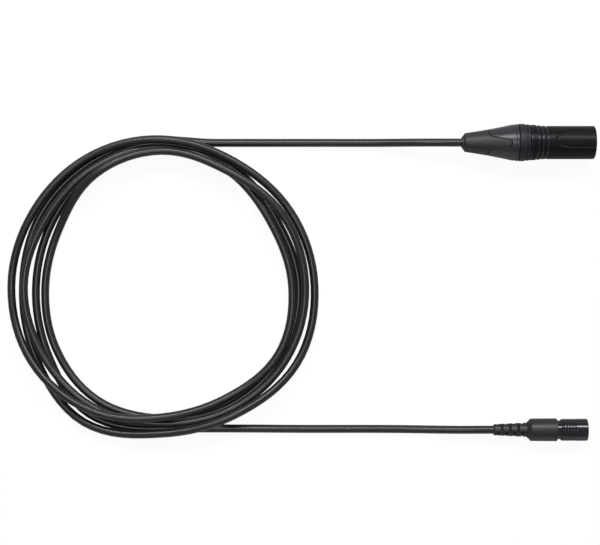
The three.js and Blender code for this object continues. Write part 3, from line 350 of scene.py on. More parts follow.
RING_REAR_GROOVE, RING_LAND, RING_FRONT_GROOVE, RING_FLANGE = 0.3, 3.7, 0.8, 1.4
RING_START = BOOT_LENGTH + FIT
RING_LAND_START = RING_START + RING_REAR_GROOVE
RING_LAND_END = RING_LAND_START + RING_LAND
RING_FLANGE_START = RING_LAND_END + RING_FRONT_GROOVE
RING_END = RING_FLANGE_START + RING_FLANGE
SHELL_LENGTH, SHELL_START = 37.3, RING_END + FIT
SHELL_END = SHELL_START + SHELL_LENGTH
SHELL_RADIUS = 9.5
SHELL_TURNS, SHELL_STEP = 256, 0.3
SHELL_BAND_RADII = (10.2, 9.85, 9.63, SHELL_RADIUS)
SHELL_BAND_ENDS = (3.55, 6.3, 8.85)
SHELL_BAND_RISE = 0.9           # length of the rounded step at the rear of a band
SHELL_BAND_DROP = 0.35          # height of that step
SHELL_BAND_TAPER = 0.15         # radius lost from a band's crest to its front end
SHELL_BEND, SHELL_BEND_DROP = 0.36, 0.09        # where the rounded step bends
SHELL_GROOVE_WIDTH, SHELL_GROOVE_SLANT = 0.45, 0.09
MOUTH_RADIUS, MOUTH_DEPTH = 8.0, 15
MOUTH_BACK = SHELL_END - MOUTH_DEPTH
MOUTH_STEP = 1.5                # from the mouth's back to the rear bore
PANEL_TIP, PANEL_HALF, PANEL_ARCH, PANEL_DEPTH, PANEL_OFFSET = 23.6, 4.2, 11.0, 0.35, 0.6
PANEL_STEPS = 48
PANEL_OVERRUN = 2               # how far its outline reaches past the rim
PANEL_MARGIN = 1                # the barrel is only looked at this far behind the panel's tip
PANEL_SLOPE, PANEL_SLOPE_SHIFT = 0.3, 0.4       # width of the slope at its edge, and the share of it outside
OUTSIDE_FROM = 8.75             # what lies further out than this is the barrel's outside
MOUTH_MARGIN = 0.2
LEAST_UP = 0.5                  # the mouth is only cut above this height over the axis
WALL_SLOPE = 0.25
KEY_HALF, KEY_LENGTH, KEY_FACE = 1.3, 6.5, 7
CATCH_HALF, CATCH_LENGTH, CATCH_FROM_RIM = 2.5, 2.5, 2.2
CATCH_FLOOR, CATCH_REACH = 8.7, 8.95
WORN_REAR, WORN_FRONT, WORN_DEPTH = 0.02, 0.45, 0.5     # how far wear reaches behind, before and under a step
CONTACTS = 5
INSERT_LENGTH = 12.2
PIN_RADIUS, PIN_CIRCLE, PIN_REACH = 0.8, 4.2, 12.6
PIN_FIRST_ANGLE, PIN_STEP_ANGLE = 90, 60        # six places round the circle, the one at the key left empty
PIN_NOSE_TURNS = (0, 0.4, 0.8, 1.15, 1.4)
PIN_TURNS = 32
AXIS_RADIUS = 0.01              # where an outline meets the axis
CUP_RADIUS, CUP_BORE, CUP_DEPTH, CUP_LENGTH = 1.05, 0.75, 3.0, 4.7


def boot_radius(along):
    along = np.asarray(along, float)
    chamfer = BOOT_REAR_RADIUS + along / BOOT_CHAMFER_END * (BOOT_CHAMFER_RADIUS - BOOT_REAR_RADIUS)
    share = (along - BOOT_CHAMFER_END) / (BOOT_TAPER_END - BOOT_CHAMFER_END)
    eased = (1 - BOOT_SWELL) * share + BOOT_SWELL * share * share
    taper = BOOT_CHAMFER_RADIUS + eased * (BOOT_TAPER_RADIUS - BOOT_CHAMFER_RADIUS)
    share = (along - BOOT_TAPER_END) / (BOOT_LENGTH - BOOT_TAPER_END)
    front = BOOT_TAPER_RADIUS + share * (BOOT_FRONT_RADIUS - BOOT_TAPER_RADIUS)
    return np.where(along < BOOT_CHAMFER_END, chamfer, np.where(along > BOOT_TAPER_END, front, taper))


def tongue_edge():
    """One quarter of the skin's front edge seen from above, from its widest place to a tongue's tip."""
    wide = float(boot_radius(TONGUE_ROOT))
    corner = math.acos((TONGUE_ROOT_HALF + TONGUE_CORNER_WIDTH) / wide)
    points = []
    for k in range(TONGUE_REAR_STEPS):
        points.append((TONGUE_ROOT, wide * math.cos(corner * k / TONGUE_REAR_STEPS)))
    for k in range(TONGUE_CORNER_STEPS + 1):
        turn = k / TONGUE_CORNER_STEPS * math.pi / 2
        points.append((TONGUE_ROOT + TONGUE_CORNER_LENGTH * (1 - math.cos(turn)),
                       TONGUE_ROOT_HALF + TONGUE_CORNER_WIDTH * (1 - math.sin(turn))))
    side_start, side_end = TONGUE_ROOT + TONGUE_CORNER_LENGTH, TONGUE_TIP - TONGUE_NOSE
    for k in range(1, TONGUE_SIDE_STEPS):
        share = k / TONGUE_SIDE_STEPS
        points.append((side_start + (side_end - side_start) * share,
                       TONGUE_ROOT_HALF + (TONGUE_END_HALF - TONGUE_ROOT_HALF) * share))
    for k in range(TONGUE_NOSE_STEPS + 1):
        turn = k / TONGUE_NOSE_STEPS * math.pi / 2
        points.append((side_end + TONGUE_NOSE * math.sin(turn), TONGUE_END_HALF * math.cos(turn)))
    return points


def whole_edge():
    """The skin's front edge all round: place along, angle, and the direction into the skin on its
    surface, along and round."""
    quarter = []
    for along, half in tongue_edge():
        radius = float(boot_radius(along))
        quarter.append((along, math.acos(min(half / radius, 1))))
    right = quarter[:-1]
    left = [(along, math.pi - angle) for along, angle in quarter[:0:-1]]
    upper = np.array(right + left)
    edge = np.concatenate([upper, upper + (0, math.pi)])
    along, angle = edge[:, 0], edge[:, 1]
    ahead_angle, behind_angle = np.roll(angle, -1), np.roll(angle, 1)
    ahead_angle[-1] += 2 * math.pi
    behind_angle[0] -= 2 * math.pi
    run = np.roll(along, -1) - np.roll(along, 1)
    round_way = (ahead_angle - behind_angle) * boot_radius(along)
    size = np.hypot(run, round_way)
    return along, angle, -round_way / size, run / size


def at(along, angle, radius):
    """Places on the boot, turned as it is."""
    along, angle, radius = np.broadcast_arrays(along, angle + BOOT_ROLL, radius)
    return np.stack([along, radius * np.cos(angle), radius * np.sin(angle)], axis=-1)


def make_boot_skin(material):
    """The soft skin over the boot, with a tongue above and one below."""
    along, angle, inward_run, inward_round = whole_edge()
    radius = boot_radius(along)

    def moved(distance):
        return along + distance * inward_run, angle + distance * inward_round / radius

    rows = []
    rear = rounded([(0.0, CABLE_BORE, 0.1), (0.0, BOOT_REAR_RADIUS, 0.35),
                    (BOOT_CHAMFER_END, BOOT_CHAMFER_RADIUS, 0), (BOOT_CHAMFER_END, CABLE_BORE, 0)])
    for place in refined(rear[:-2], SKIN_REAR_STEP)[:-1]:
        if place[0] < BOOT_CHAMFER_END - SKIN_REAR_STEP:
            rows.append(at(place[0], angle, place[1]))
    start = BOOT_CHAMFER_END - CHAMFER_BLEND
    end_along, end_angle = moved(SKIN_EDGE_ROUND)
    for k in range(SKIN_STEPS):
        share = k / SKIN_STEPS
        here = start + (end_along - start) * share
        turn = angle + (end_angle - angle) * share ** 3
        drop = CHAMFER_DROP * np.exp(-((here - BOOT_CHAMFER_END) / CHAMFER_BLEND) ** 2)
        rows.append(at(here, turn, boot_radius(here) - drop))
    for turn in EDGE_TURNS:
        here, round_way = moved(SKIN_EDGE_ROUND * (1 - math.sin(turn)))
        rows.append(at(here, round_way, boot_radius(here) - SKIN_EDGE_ROUND * (1 - math.cos(turn))))
    rows.append(at(along, angle, radius - SLEEVE_WALL))
    for k in range(1, SKIN_INSIDE_STEPS + 1):
        here = along + (SLEEVE_CAP - along) * k / SKIN_INSIDE_STEPS
        rows.append(at(here, angle, boot_radius(here) - SLEEVE_WALL))
    rows.append(at(SLEEVE_CAP, angle, CABLE_BORE))
    ring_mesh("boot_skin", rows, material, "boot", ["xlr_boot_skin"], XLR)


def thread_radius(along, angle):
    """The outside of the neck's thread, which runs out at both ends."""
    phase = along / THREAD_PITCH - angle / (2 * math.pi)
    wave = np.abs((phase % 1) * 2 - 1)
    ridge = np.clip(wave * THREAD_STEEPNESS - THREAD_FLOOR, 0, 1)
    fade = smooth_step((along - BOOT_LENGTH - THREAD_REAR_GAP) / THREAD_FADE)
    fade = fade * smooth_step((BOOT_LENGTH + NECK_LENGTH - THREAD_FRONT_GAP - along) / THREAD_FADE)
    return NECK_RADIUS - THREAD_DEPTH * (1 - ridge * fade)


def make_boot_shell(material):
    """The hard boot: under the skin at the rear, bare beside the tongues, with its lip and threaded neck."""
    along, angle, inward_run, inward_round = whole_edge()
    radius = boot_radius(along)

    def moved(distance):
        return along - distance * inward_run, angle - distance * inward_round / radius

    rear = SLEEVE_CAP + FIT
    rows = [at(rear, angle, CABLE_BORE)]
    edge_along, edge_angle = moved(FIT)
    for k in range(BOOT_INSIDE_STEPS + 1):
        here = rear + (edge_along - rear) * k / BOOT_INSIDE_STEPS
        turn = angle + (edge_angle - angle) * (k / BOOT_INSIDE_STEPS) ** 3
        rows.append(at(here, turn, boot_radius(here) - SLEEVE_WALL - FIT))
    for turn in EDGE_TURNS[::-1]:
        here, round_way = moved(FIT + BOOT_EDGE_ROUND * (1 - math.sin(turn)))
        rows.append(at(here, round_way, boot_radius(here) - BOOT_EDGE_ROUND * (1 - math.cos(turn))))
    start_along, start_angle = moved(FIT + BOOT_EDGE_ROUND)
    groove_round = 0.1
    for k in range(1, BOOT_STEPS + 1):
        share = k / BOOT_STEPS
        here = start_along + (BOOT_GROOVE_FROM - groove_round - start_along) * share
        turn = start_angle + (angle - start_angle) * (1 - (1 - share) ** 3)
        rows.append(at(here, turn, boot_radius(here)))
    groove_rear, groove_front = float(boot_radius(BOOT_GROOVE_FROM)), float(boot_radius(BOOT_GROOVE_TO))
    groove_radius = groove_rear - BOOT_GROOVE_DEPTH
    thread_foot = NECK_RADIUS - THREAD_DEPTH
    front = [
        (BOOT_GROOVE_FROM, groove_rear, groove_round), (BOOT_GROOVE_FROM, groove_radius, 0.08),
        (BOOT_GROOVE_TO, groove_radius, 0.08), (BOOT_GROOVE_TO, groove_front, 0.15),
        (BOOT_LENGTH, BOOT_FRONT_RADIUS, 0.2), (BOOT_LENGTH, thread_foot, 0.05),
    ]
    closing = [(BOOT_LENGTH + 1, thread_foot), BEFORE_GROOVE]    # only for the roundings beside them
    for place in rounded(front + closing)[:-2]:
        rows.append(at(place[0], angle, place[1]))
    neck_end = BOOT_LENGTH + NECK_LENGTH
    for k in range(1, NECK_STEPS + 1):
        here = BOOT_LENGTH + NECK_REAR_MARGIN + (NECK_LENGTH - NECK_MARGINS) * k / NECK_STEPS
        rows.append(at(here, angle, thread_radius(here, angle)))
    inside = [
        (neck_end, thread_foot - NECK_CHAMFER), (neck_end, NECK_BORE), (BOOT_CAVITY_FULL, NECK_BORE),
        (BOOT_CAVITY_START, BOOT_CAVITY_REAR_RADIUS), (BOOT_CAVITY_START, CABLE_BORE),
    ]
    for here, inner in inside:
        rows.append(at(here, angle, inner))
    ring_mesh("boot_shell", rows, material, "boot", ["xlr_boot_shell"], XLR)


def make_collar_ring(material):
    bore = NECK_RADIUS + FIT
    groove, flange = RING_GROOVE_RADIUS, RING_FLANGE_RADIUS
    land_edge, flange_edge = COLLAR_RADIUS - RING_CROWN, flange - RING_CROWN
    loop = [
        (RING_START, bore, 0.1), (RING_START, groove, 0.05), (RING_LAND_START, groove, 0.05),
        (RING_LAND_START, land_edge, 0.2), (RING_LAND_START + RING_LAND_CROWN_WIDTH, COLLAR_RADIUS, 0.3),
        (RING_LAND_END - RING_LAND_CROWN_WIDTH, COLLAR_RADIUS, 0.3), (RING_LAND_END, land_edge, 0.2),
        (RING_LAND_END, groove, 0.12), (RING_FLANGE_START, groove, 0.12),
        (RING_FLANGE_START, flange_edge, 0.2), (RING_FLANGE_START + RING_FLANGE_CROWN_WIDTH, flange, 0.2),
        (RING_END - RING_FLANGE_CROWN_WIDTH, flange, 0.2), (RING_END, flange_edge, 0.15),
        (RING_END, bore, 0.1),
    ]
    turned("collar_ring", loop, material, "collar", "xlr_collar_ring", XLR, RING_TURNS)


def panel_edge():
    """The recess on the barrel, seen from above: open at the rim, closed in a rounded tip."""
    tip = SHELL_END - PANEL_TIP
    side = []
    for k in range(PANEL_STEPS, 0, -1):
        share = k / PANEL_STEPS
        side.append((tip + PANEL_ARCH * share * share, PANEL_HALF * math.sin(share * math.pi / 2)))
    front = SHELL_END + PANEL_OVERRUN
    other_side = [(x, -y) for x, y in side[::-1]]
    points = [(front, -PANEL_HALF), (front, PANEL_HALF)] + side + [(tip, 0)] + other_side
    return np.array(points) + (0, PANEL_OFFSET)


def distance_inside(points, x, y):
    """How far places lie inside a closed outline, negative outside it."""
    nearest = np.full(x.shape, np.inf)
    inside = np.zeros(x.shape, bool)
    for (ax, ay), (bx, by) in zip(points, np.roll(points, -1, axis=0)):
        run, rise = bx - ax, by - ay
        share = np.clip(((x - ax) * run + (y - ay) * rise) / (run * run + rise * rise), 0, 1)
        nearest = np.minimum(nearest, np.hypot(x - ax - share * run, y - ay - share * rise))
        if ay != by:
            crossing = ax + (y - ay) * run / rise
            inside ^= ((ay > y) != (by > y)) & (x < crossing)
    return np.where(inside, nearest, -nearest)


def carve_shell(along, angle, radius):
    """The barrel's arched recess outside, and the key and the catch pocket inside its mouth."""
    across, up = radius * np.cos(angle), np.sin(angle)
    outer = (radius > OUTSIDE_FROM) & (along > SHELL_END - PANEL_TIP - PANEL_MARGIN) & (up > 0)
    depth = smooth_step(distance_inside(panel_edge(), along, across) / PANEL_SLOPE + PANEL_SLOPE_SHIFT)
    floor = SHELL_RADIUS - PANEL_DEPTH
    radius = np.where(outer, radius - depth * np.maximum(radius - floor, 0), radius)
    inner = (radius < MOUTH_RADIUS + MOUTH_MARGIN) & (along > MOUTH_BACK) & (up > LEAST_UP)
    safe_up = np.maximum(up, LEAST_UP)

    def within(distance):
        return smooth_step(distance / WALL_SLOPE + 0.5)

    key = within(KEY_HALF - np.abs(across)) * within(MOUTH_BACK + FIT + KEY_LENGTH - along)
    radius = np.where(inner, radius + key * (KEY_FACE / safe_up - radius), radius)
    catch_end = SHELL_END - CATCH_FROM_RIM
    catch = within(CATCH_HALF - np.abs(across)) * within(catch_end - along)
    catch = catch * within(along - catch_end + CATCH_LENGTH)
    catch_radius = np.minimum(CATCH_FLOOR / safe_up, CATCH_REACH)
    return np.where(inner, radius + catch * (catch_radius - radius), radius)


def band_rear(start, crest, rounding):
    """The rounded step at the rear of a band on the barrel."""
    return [(start, crest - SHELL_BAND_DROP, rounding), (start + SHELL_BEND, crest - SHELL_BEND_DROP, 0.3),
            (start + SHELL_BAND_RISE, crest, 0.5)]


def make_xlr_shell(material, edge_material):
    """The barrel, with its rear bands, the worn edges of their steps, its panel and its mouth."""
    bore = NECK_RADIUS + FIT
    loop = []
    steps = []
    start = SHELL_START
    for crest, end, lower in zip(SHELL_BAND_RADII, SHELL_BAND_ENDS, SHELL_BAND_RADII[1:]):
        end += SHELL_START
        steps.append(start)
        loop += band_rear(start, crest, 0.12)
        loop += [(end, crest - SHELL_BAND_TAPER, 0.12),
                 (end + SHELL_GROOVE_SLANT, lower - SHELL_BAND_DROP, 0.05)]
        start = end + SHELL_GROOVE_WIDTH
    steps.append(start)
    loop += band_rear(start, SHELL_RADIUS, 0.05)
    loop += [(SHELL_END, SHELL_RADIUS, 0.6), (SHELL_END, MOUTH_RADIUS, 0.25),
             (MOUTH_BACK - MOUTH_STEP, MOUTH_RADIUS, 0.1), (MOUTH_BACK - MOUTH_STEP, bore, 0.1),
             (SHELL_START, bore, 0.2)]

    def worn(along, radius, before):
        on_step = np.zeros(along.shape, bool)
        for place in steps:
            on_step |= (along > place - WORN_REAR) & (along < place + WORN_FRONT)
        return on_step & (radius > SHELL_RADIUS - WORN_DEPTH)

    turned("barrel", loop, material, "cable", "xlr_shell", XLR, SHELL_TURNS, SHELL_STEP, carve_shell,
           edge_material, worn)


def make_pins(material):
    """The contact pins, round-nosed, each with its solder cup behind the insulator."""
    insert_rear = MOUTH_BACK - INSERT_LENGTH
    tip = MOUTH_BACK + PIN_REACH
    nose = [(tip - PIN_RADIUS + PIN_RADIUS * math.sin(t), PIN_RADIUS * math.cos(t)) for t in PIN_NOSE_TURNS]
    cup_rear = insert_rear - CUP_LENGTH
    cup = [(cup_rear, CUP_BORE), (cup_rear, CUP_RADIUS, 0.05), (insert_rear - FIT, CUP_RADIUS, 0.05)]
    hollow = [(cup_rear + CUP_DEPTH, AXIS_RADIUS), (cup_rear + CUP_DEPTH, CUP_BORE)]
    loop = cup + [(insert_rear - FIT, PIN_RADIUS)] + nose + [(tip, AXIS_RADIUS)] + hollow
    for i in range(CONTACTS):
        turn = math.radians(PIN_FIRST_ANGLE + PIN_STEP_ANGLE * (i + 1))
        origin = (XLR[0], XLR[1] + PIN_CIRCLE * math.cos(turn), XLR[2] + PIN_CIRCLE * math.sin(turn))
        turned(f"pin_{i + 1}", loop, material, "cable", f"xlr_pin_{i + 1}", origin, PIN_TURNS)


# ------------------------------------------------------------------ small plug
PLUG = (PLUG_REAR_X, PLUG_AXIS_Y, PLUG_AXIS_Z)
RELIEF_TIP_RADIUS, RELIEF_REAR_RADIUS, RELIEF_EDGE = 2.85, 3.25, 0.6
RELIEF_LENGTH, RELIEF_FRONT_RADIUS = 19.0, 4.1
RELIEF_NECK = 3.75
RELIEF_FLANGE_START, RELIEF_FLANGE_RADIUS = 20.3, 4.45
RELIEF_FRONT = 22.3             # the relief's flange ends here, inside the grip
RELIEF_STEP = 0.1
RELIEF_SLOTS = 7
RELIEF_SLOT_FIRST, RELIEF_SLOT_PITCH, RELIEF_SLOT_HALF = 2.2, 2.36, 0.65
RELIEF_SLOT_SLOPE = 0.12
RELIEF_SLOT_FLOOR = 2.72        # radius of a slot's round floor
RELIEF_SLOT_END = 2.45          # distance from the axis to the flat at which a slot ends
RELIEF_OUTSIDE_FROM = 2.8       # what lies further in than this isn't cut
LEAST_COSINE = 0.2
RELIEF_ROLLS = (58, -32)        # the slots lie at these rolls from the top, one after the other
SHADED_DEPTH, SHADED_RADIUS = 0.06, 3.9         # painted shade goes on places cut deeper than this that lie further in than this radius: a slot's walls and floor
GRIP_START, GRIP_END, GRIP_STEP = 19.3, 36.4, 0.6
GRIP_TAPER = 0.12               # radius lost from the front edge to the cone
GRIP_HOLE, GRIP_REAR_RADIUS = 4.05, 4.45
GRIP_CONE, GRIP_CONE_BEND, GRIP_CONE_BEND_DROP = 2, 1.7, 0.35
GRIP_CHAMBER, GRIP_REAR_WALL = 4.75, 0.7
CORE_TUBE_RADIUS, CORE_TUBE_BORE = 5.4, 3.9
FERRULE_FLANGE = 0.5
CORE_TUBE_START = RELIEF_FRONT + FIT + FERRULE_FLANGE + FIT
CORE_NOSE_START, CORE_NOSE_RADIUS, CORE_NOSE_END = 39.6, 4.7, 52.6
CLIP_GROOVE_FROM, CLIP_GROOVE_TO, CLIP_GROOVE_RADIUS = 45.6, 46.9, 4.35
PLUG_TUBE_STEP = 0.8
LOCK_START, LOCK_END, LOCK_TURNS = 38.7, 53.85, 192
LOCK_RADIUS, LOCK_REAR_RADIUS, LOCK_BORE = 6.35, 5.95, 5.7
LOCK_FLARE, LOCK_FLARE_DROP = 0.55, 0.05
LOCK_GROOVES = 5
LOCK_GROOVE_FIRST, LOCK_GROOVE_PITCH, LOCK_GROOVE_HALF, LOCK_GROOVE_DEPTH = 1.2, 1.68, 0.42, 0.35
LOCK_RIB_START, LOCK_RIB_END, LOCK_RIB_RADIUS = 5.9, 6.9, 5.0


def carve_relief(along, angle, radius):
    """Two slots across the relief at each step along it, one on either side, with a round floor and
    flat ends. Every other pair is rolled the other way."""
    for i in range(RELIEF_SLOTS):
        middle = RELIEF_SLOT_FIRST + i * RELIEF_SLOT_PITCH
        roll = math.radians(90 + RELIEF_ROLLS[i % 2])
        local = np.abs(np.cos(angle - roll))
        floor = np.maximum(RELIEF_SLOT_FLOOR, RELIEF_SLOT_END / np.maximum(local, LEAST_COSINE))
        wall = smooth_step((RELIEF_SLOT_HALF - np.abs(along - middle)) / RELIEF_SLOT_SLOPE + 0.5)
        cut = np.minimum(radius, floor)
        radius = np.where(radius > RELIEF_OUTSIDE_FROM, radius + wall * (cut - radius), radius)
    return radius


def painted_slot_shade(along, radius, before):
    """Which places on the relief get painted shade: the slots' walls and floors, cut deeper and lying further
    in.
    """
    return (before - radius > SHADED_DEPTH) & (radius < SHADED_RADIUS)


# The slots' walls and floors get the second material, which is painted shade.
def make_relief(material, slot_shade_material):
    loop = [
        (0.0, CABLE_BORE, 0.1), (0.0, RELIEF_TIP_RADIUS, 0.05), (RELIEF_EDGE, RELIEF_REAR_RADIUS, 0.3),
        (RELIEF_LENGTH, RELIEF_FRONT_RADIUS, 0.15), (RELIEF_LENGTH, RELIEF_NECK, 0.05),
        (RELIEF_FLANGE_START, RELIEF_NECK), (RELIEF_FLANGE_START, RELIEF_FLANGE_RADIUS),
        (RELIEF_FRONT, RELIEF_FLANGE_RADIUS), (RELIEF_FRONT, CABLE_BORE),
    ]
    return turned("relief", loop, material, "cable", "plug_relief", PLUG, TURNS, RELIEF_STEP, carve_relief,
                  slot_shade_material, painted_slot_shade)


def make_grip(material):
    cone_radius = GRIP_RADIUS - GRIP_TAPER
    chamber_start = GRIP_START + GRIP_REAR_WALL
    loop = [
        (GRIP_START, GRIP_HOLE, 0.05), (GRIP_START, GRIP_REAR_RADIUS, 0.3),
        (GRIP_START + GRIP_CONE_BEND, cone_radius - GRIP_CONE_BEND_DROP, 0.3),
        (GRIP_START + GRIP_CONE, cone_radius, 0.6), (GRIP_END, GRIP_RADIUS, 0.65),
        (GRIP_END, LOCK_BORE, 0.15), (RELIEF_FRONT, LOCK_BORE), (RELIEF_FRONT, GRIP_CHAMBER),
        (chamber_start, GRIP_CHAMBER), (chamber_start, GRIP_HOLE),
    ]
    return turned("grip", loop, material, "cable", "plug_grip", PLUG, TURNS, GRIP_STEP)


def make_core_tube(material):
    loop = [
        (CORE_TUBE_START, CORE_TUBE_BORE), (CORE_TUBE_START, CORE_TUBE_RADIUS, 0.1),
        (CORE_NOSE_START, CORE_TUBE_RADIUS, 0.1), (CORE_NOSE_START, CORE_NOSE_RADIUS),
        (CLIP_GROOVE_FROM, CORE_NOSE_RADIUS), (CLIP_GROOVE_FROM, CLIP_GROOVE_RADIUS),
        (CLIP_GROOVE_TO, CLIP_GROOVE_RADIUS), (CLIP_GROOVE_TO, CORE_NOSE_RADIUS),
        (CORE_NOSE_END, CORE_NOSE_RADIUS, 0.2), (CORE_NOSE_END, CORE_TUBE_BORE, 0.15),
    ]
    return turned("core_tube", loop, material, "cable", "plug_core_tube", PLUG, TURNS, PLUG_TUBE_STEP)


def make_lock_sleeve(material):
    """The sleeve that is pulled back, with its grip grooves and the rib that its spring pushes on."""
    loop = [(LOCK_START, LOCK_BORE, 0.05), (LOCK_START, LOCK_REAR_RADIUS, 0.12),
            (LOCK_START + LOCK_FLARE, LOCK_RADIUS - LOCK_FLARE_DROP, 0.2)]
    for i in range(LOCK_GROOVES):
        middle = LOCK_START + LOCK_GROOVE_FIRST + i * LOCK_GROOVE_PITCH
        loop += [(middle - LOCK_GROOVE_HALF, LOCK_RADIUS, 0.16),
                 (middle, LOCK_RADIUS - LOCK_GROOVE_DEPTH, 0.12),
                 (middle + LOCK_GROOVE_HALF, LOCK_RADIUS, 0.16)]
    rib_start, rib_end = LOCK_START + LOCK_RIB_START, LOCK_START + LOCK_RIB_END
    loop += [(LOCK_END, LOCK_RADIUS, 0.3), (LOCK_END, LOCK_BORE, 0.12), (rib_end, LOCK_BORE),
             (rib_end, LOCK_RIB_RADIUS), (rib_start, LOCK_RIB_RADIUS), (rib_start, LOCK_BORE)]
    return turned("lock_sleeve", loop, material, "lock", "plug_lock_sleeve", PLUG, LOCK_TURNS, PLUG_TUBE_STEP)


# ------------------------------------------------------------------ stage and light, in metres
FLOOR_HALF = 6.0
FLOOR_SEEN = 0.94               # how bright the floor is to the camera by itself, where 1 is white
FLOOR_MATT = 0.06               # what it adds from the light that falls on it, which carries the shadow
FLOOR_MIRRORED = 0.6            # how white it is in what the object mirrors, lit and in shadow
WORLD_COLOUR = (0.96, 0.97, 1, 1)
WORLD_LIGHT = 0.1               # what the world adds to the light on the object
WORLD_SEEN = 0.5                # how bright it is to the camera and in what the object mirrors
LAMP_COLOUR = (0.965, 0.96, 1.0)
LAMPS = {                       # place, what it points at, width, height and watts
    "softbox": ((0.0, 0.9, 1.15), (0, 0, 0), 2.0, 0.34, 31),
    "overhead": ((-0.15, -0.02, 1.7), (-0.15, -0.02, 0), 0.5, 0.3, 5.5),
    "back_low": ((0.0, 1.5, 0.14), (0, 0, 0), 2.6, 0.24, 2.2),
    "front_low": ((0.0, -1.5, 0.12), (0, 0, 0), 2.2, 0.2, 2.8),
}


def area_light(name, place, target, width, height, power):
    data = bpy.data.lights.new(name, "AREA")
    data.shape = "RECTANGLE"
    data.size, data.size_y = width, height
    data.energy = power
    data.color = LAMP_COLOUR
    lamp = bpy.data.objects.new(name, data)
    lamp.location = place
    lamp.rotation_mode = "QUATERNION"
    lamp.rotation_quaternion = (Vector(target) - Vector(place)).to_track_quat("-Z", "Y")
    bpy.context.collection.objects.link(lamp)


def any_ray(nodes, links, *kinds):
    """A socket that is 1 for each of these kinds of ray, and 0 for the others."""
    rays = nodes.new("ShaderNodeLightPath")
    chosen = rays.outputs[kinds[0]]
    for kind in kinds[1:]:
        either = nodes.new("ShaderNodeMath")
        either.operation = "MAXIMUM"
        links.new(chosen, either.inputs[0])
        links.new(rays.outputs[kind], either.inputs[1])
        chosen = either.outputs[0]
    return chosen


def make_stage():
    """A white floor, with the object's faint shadow. In reflections it is a plain lit white surface."""
    mesh = bpy.data.meshes.new("floor")
    corners = [(FLOOR_HALF * x, FLOOR_HALF * y, 0) for x, y in ((-1, -1), (1, -1), (1, 1), (-1, 1))]
    mesh.from_pydata(corners, [], [(0, 1, 2, 3)])
    floor = bpy.data.objects.new("floor", mesh)
    bpy.context.collection.objects.link(floor)
    material = bpy.data.materials.new("floor_white")
    material.use_nodes = True
    nodes, links = material.node_tree.nodes, material.node_tree.links
    nodes.clear()
    out = nodes.new("ShaderNodeOutputMaterial")
    both = nodes.new("ShaderNodeAddShader")
    white = nodes.new("ShaderNodeMapRange")
    white.inputs["To Min"].default_value = FLOOR_MATT
    white.inputs["To Max"].default_value = FLOOR_MIRRORED
    links.new(any_ray(nodes, links, "Is Glossy Ray", "Is Transmission Ray"), white.inputs["Value"])
    matt = nodes.new("ShaderNodeBsdfDiffuse")
    links.new(white.outputs["Result"], matt.inputs["Color"])
    glow = nodes.new("ShaderNodeEmission")
    seen = nodes.new("ShaderNodeMath")
    seen.operation = "MULTIPLY"
    seen.inputs[1].default_value = FLOOR_SEEN
    links.new(any_ray(nodes, links, "Is Camera Ray"), seen.inputs[0])
    links.new(seen.outputs[0], glow.inputs["Strength"])
    links.new(matt.outputs[0], both.inputs[0])
    links.new(glow.outputs[0], both.inputs[1])
    links.new(both.outputs[0], out.inputs["Surface"])
    mesh.materials.append(material)


def make_light():
    """A pale world, dim as a light, and four soft lamps."""
    world = bpy.data.worlds.new("world")
    bpy.context.scene.world = world
    world.use_nodes = True
    nodes, links = world.node_tree.nodes, world.node_tree.links
    back = nodes["Background"]
    back.inputs["Color"].default_value = WORLD_COLOUR
    level = nodes.new("ShaderNodeMapRange")
    level.inputs["To Min"].default_value = WORLD_LIGHT
    level.inputs["To Max"].default_value = WORLD_SEEN
    shown = any_ray(nodes, links, "Is Camera Ray", "Is Glossy Ray", "Is Transmission Ray")
    links.new(shown, level.inputs["Value"])
    links.new(level.outputs["Result"], back.inputs["Strength"])
    for name, lamp in LAMPS.items():
        area_light(name, *lamp)


# ------------------------------------------------------------------ build
JACKET = surface("cable_jacket", (0.006, 0.0058, 0.0068), 0.3, grain=300, bump=0.03, specular=0.38,
                 variation=0.04)
JACKET_SHEEN = 0.05
JACKET.node_tree.nodes["Principled BSDF"].inputs["Sheen Weight"].default_value = JACKET_SHEEN
cord = make_cable(JACKET)

BLACK_METAL = surface("shell_black", (0.004, 0.004, 0.005), 0.36, grain=2500, depth=0.01, specular=0.1)
GLOSS_METAL = surface("sleeve_gloss", (0.043, 0.043, 0.047), 0.15, 1.0, grain=2500, bump=0.05, depth=0.01,
                      variation=0.03)
WORN_EDGE = surface("shell_edge", (0.05, 0.05, 0.056), 0.2, 1.0, grain=2500, bump=0.1, depth=0.01,
                    variation=0.04)
BOOT_HARD = surface("boot_hard", (0.009, 0.009, 0.0118), 0.34, specular=0.45)
BOOT_SOFT = surface("boot_soft", (0.009, 0.008, 0.0078), 0.5, grain=800, bump=1.0, depth=0.07, specular=0.4)
RING = surface("ring_satin", (0.005, 0.005, 0.0075), 0.5, grain=1600, specular=0.28)
INSULATOR = surface("insulator", (0.03, 0.03, 0.032), 0.55)
GRIP = surface("grip_matt", (0.0075, 0.0072, 0.008), 0.42, grain=900, bump=0.8, depth=0.05, specular=0.4)
RELIEF = surface("relief_matt", (0.007, 0.007, 0.0078), 0.45, grain=1600, bump=0.35, depth=0.03,
                 specular=0.4)
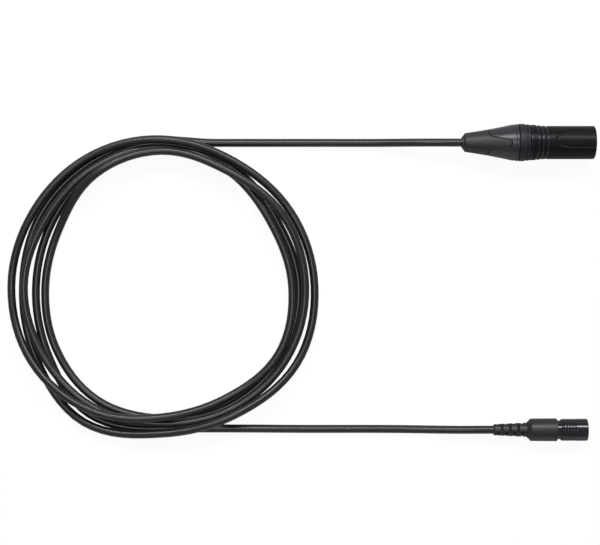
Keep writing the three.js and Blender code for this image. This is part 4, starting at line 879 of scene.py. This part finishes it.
# painted shade: a darker, duller copy of the relief's material for the slots' walls and floors, where shade
# falls
SLOT_PAINTED_SHADE = surface("relief_slot_painted_shade", (0.004, 0.004, 0.0044), 0.65, grain=1600, bump=0.3, depth=0.03,
                    specular=0.2)
CONTACT = surface("contact", (0.75, 0.6, 0.32), 0.24, 1.0, grain=2500, bump=0.05, depth=0.01)
STEEL = surface("steel", (0.55, 0.55, 0.55), 0.3, 1.0, grain=2500, bump=0.1, depth=0.01)
COLLET = surface("collet", (0.7, 0.68, 0.6), 0.5)
CORE_COLOURS = [
    (0.5, 0.04, 0.03), (0.7, 0.66, 0.58), (0.04, 0.2, 0.06), (0.04, 0.09, 0.3), (0.65, 0.35, 0.05),
]
CORES = [surface(f"core_{i + 1}", colour, 0.45, bump=0.1) for i, colour in enumerate(CORE_COLOURS)]

make_boot_skin(BOOT_SOFT)
make_boot_shell(BOOT_HARD)
make_collar_ring(RING)
make_xlr_shell(BLACK_METAL, WORN_EDGE)
make_pins(CONTACT)
plug_pieces = [
    make_relief(RELIEF, SLOT_PAINTED_SHADE), make_grip(GRIP), make_core_tube(GLOSS_METAL),
    make_lock_sleeve(GLOSS_METAL),
]

LOOKS = {                       # the solids that stay as they are
    "xlr_insert": INSULATOR, "xlr_clamp": COLLET, "xlr_cable_end": JACKET, "plug_lock_spring": STEEL,
    "plug_stop_clip": STEEL, "plug_insert": INSULATOR, "plug_ferrule": STEEL, "plug_cable_end": JACKET,
}
for i in range(CONTACTS):
    LOOKS[f"plug_socket_{i + 1}"] = CONTACT
    LOOKS[f"xlr_core_{i + 1}"] = CORES[i]
    LOOKS[f"plug_core_{i + 1}"] = CORES[i]
WELD_DISTANCE = 0.00001
SMOOTH_UP_TO = math.radians(28)


def dress(name, material):
    """A CAD node as it is, with smooth shading except at its edges."""
    node = NODES[name]
    node.data.materials.clear()
    node.data.materials.append(material)
    weld = node.modifiers.new("weld", "WELD")
    weld.merge_threshold = WELD_DISTANCE
    for polygon in node.data.polygons:
        polygon.use_smooth = True
    split = node.modifiers.new("edges", "EDGE_SPLIT")
    split.split_angle = SMOOTH_UP_TO


for name, material in LOOKS.items():
    dress(name, material)

make_stage()
make_light()
bpy.context.scene.view_settings.view_transform = "Standard"
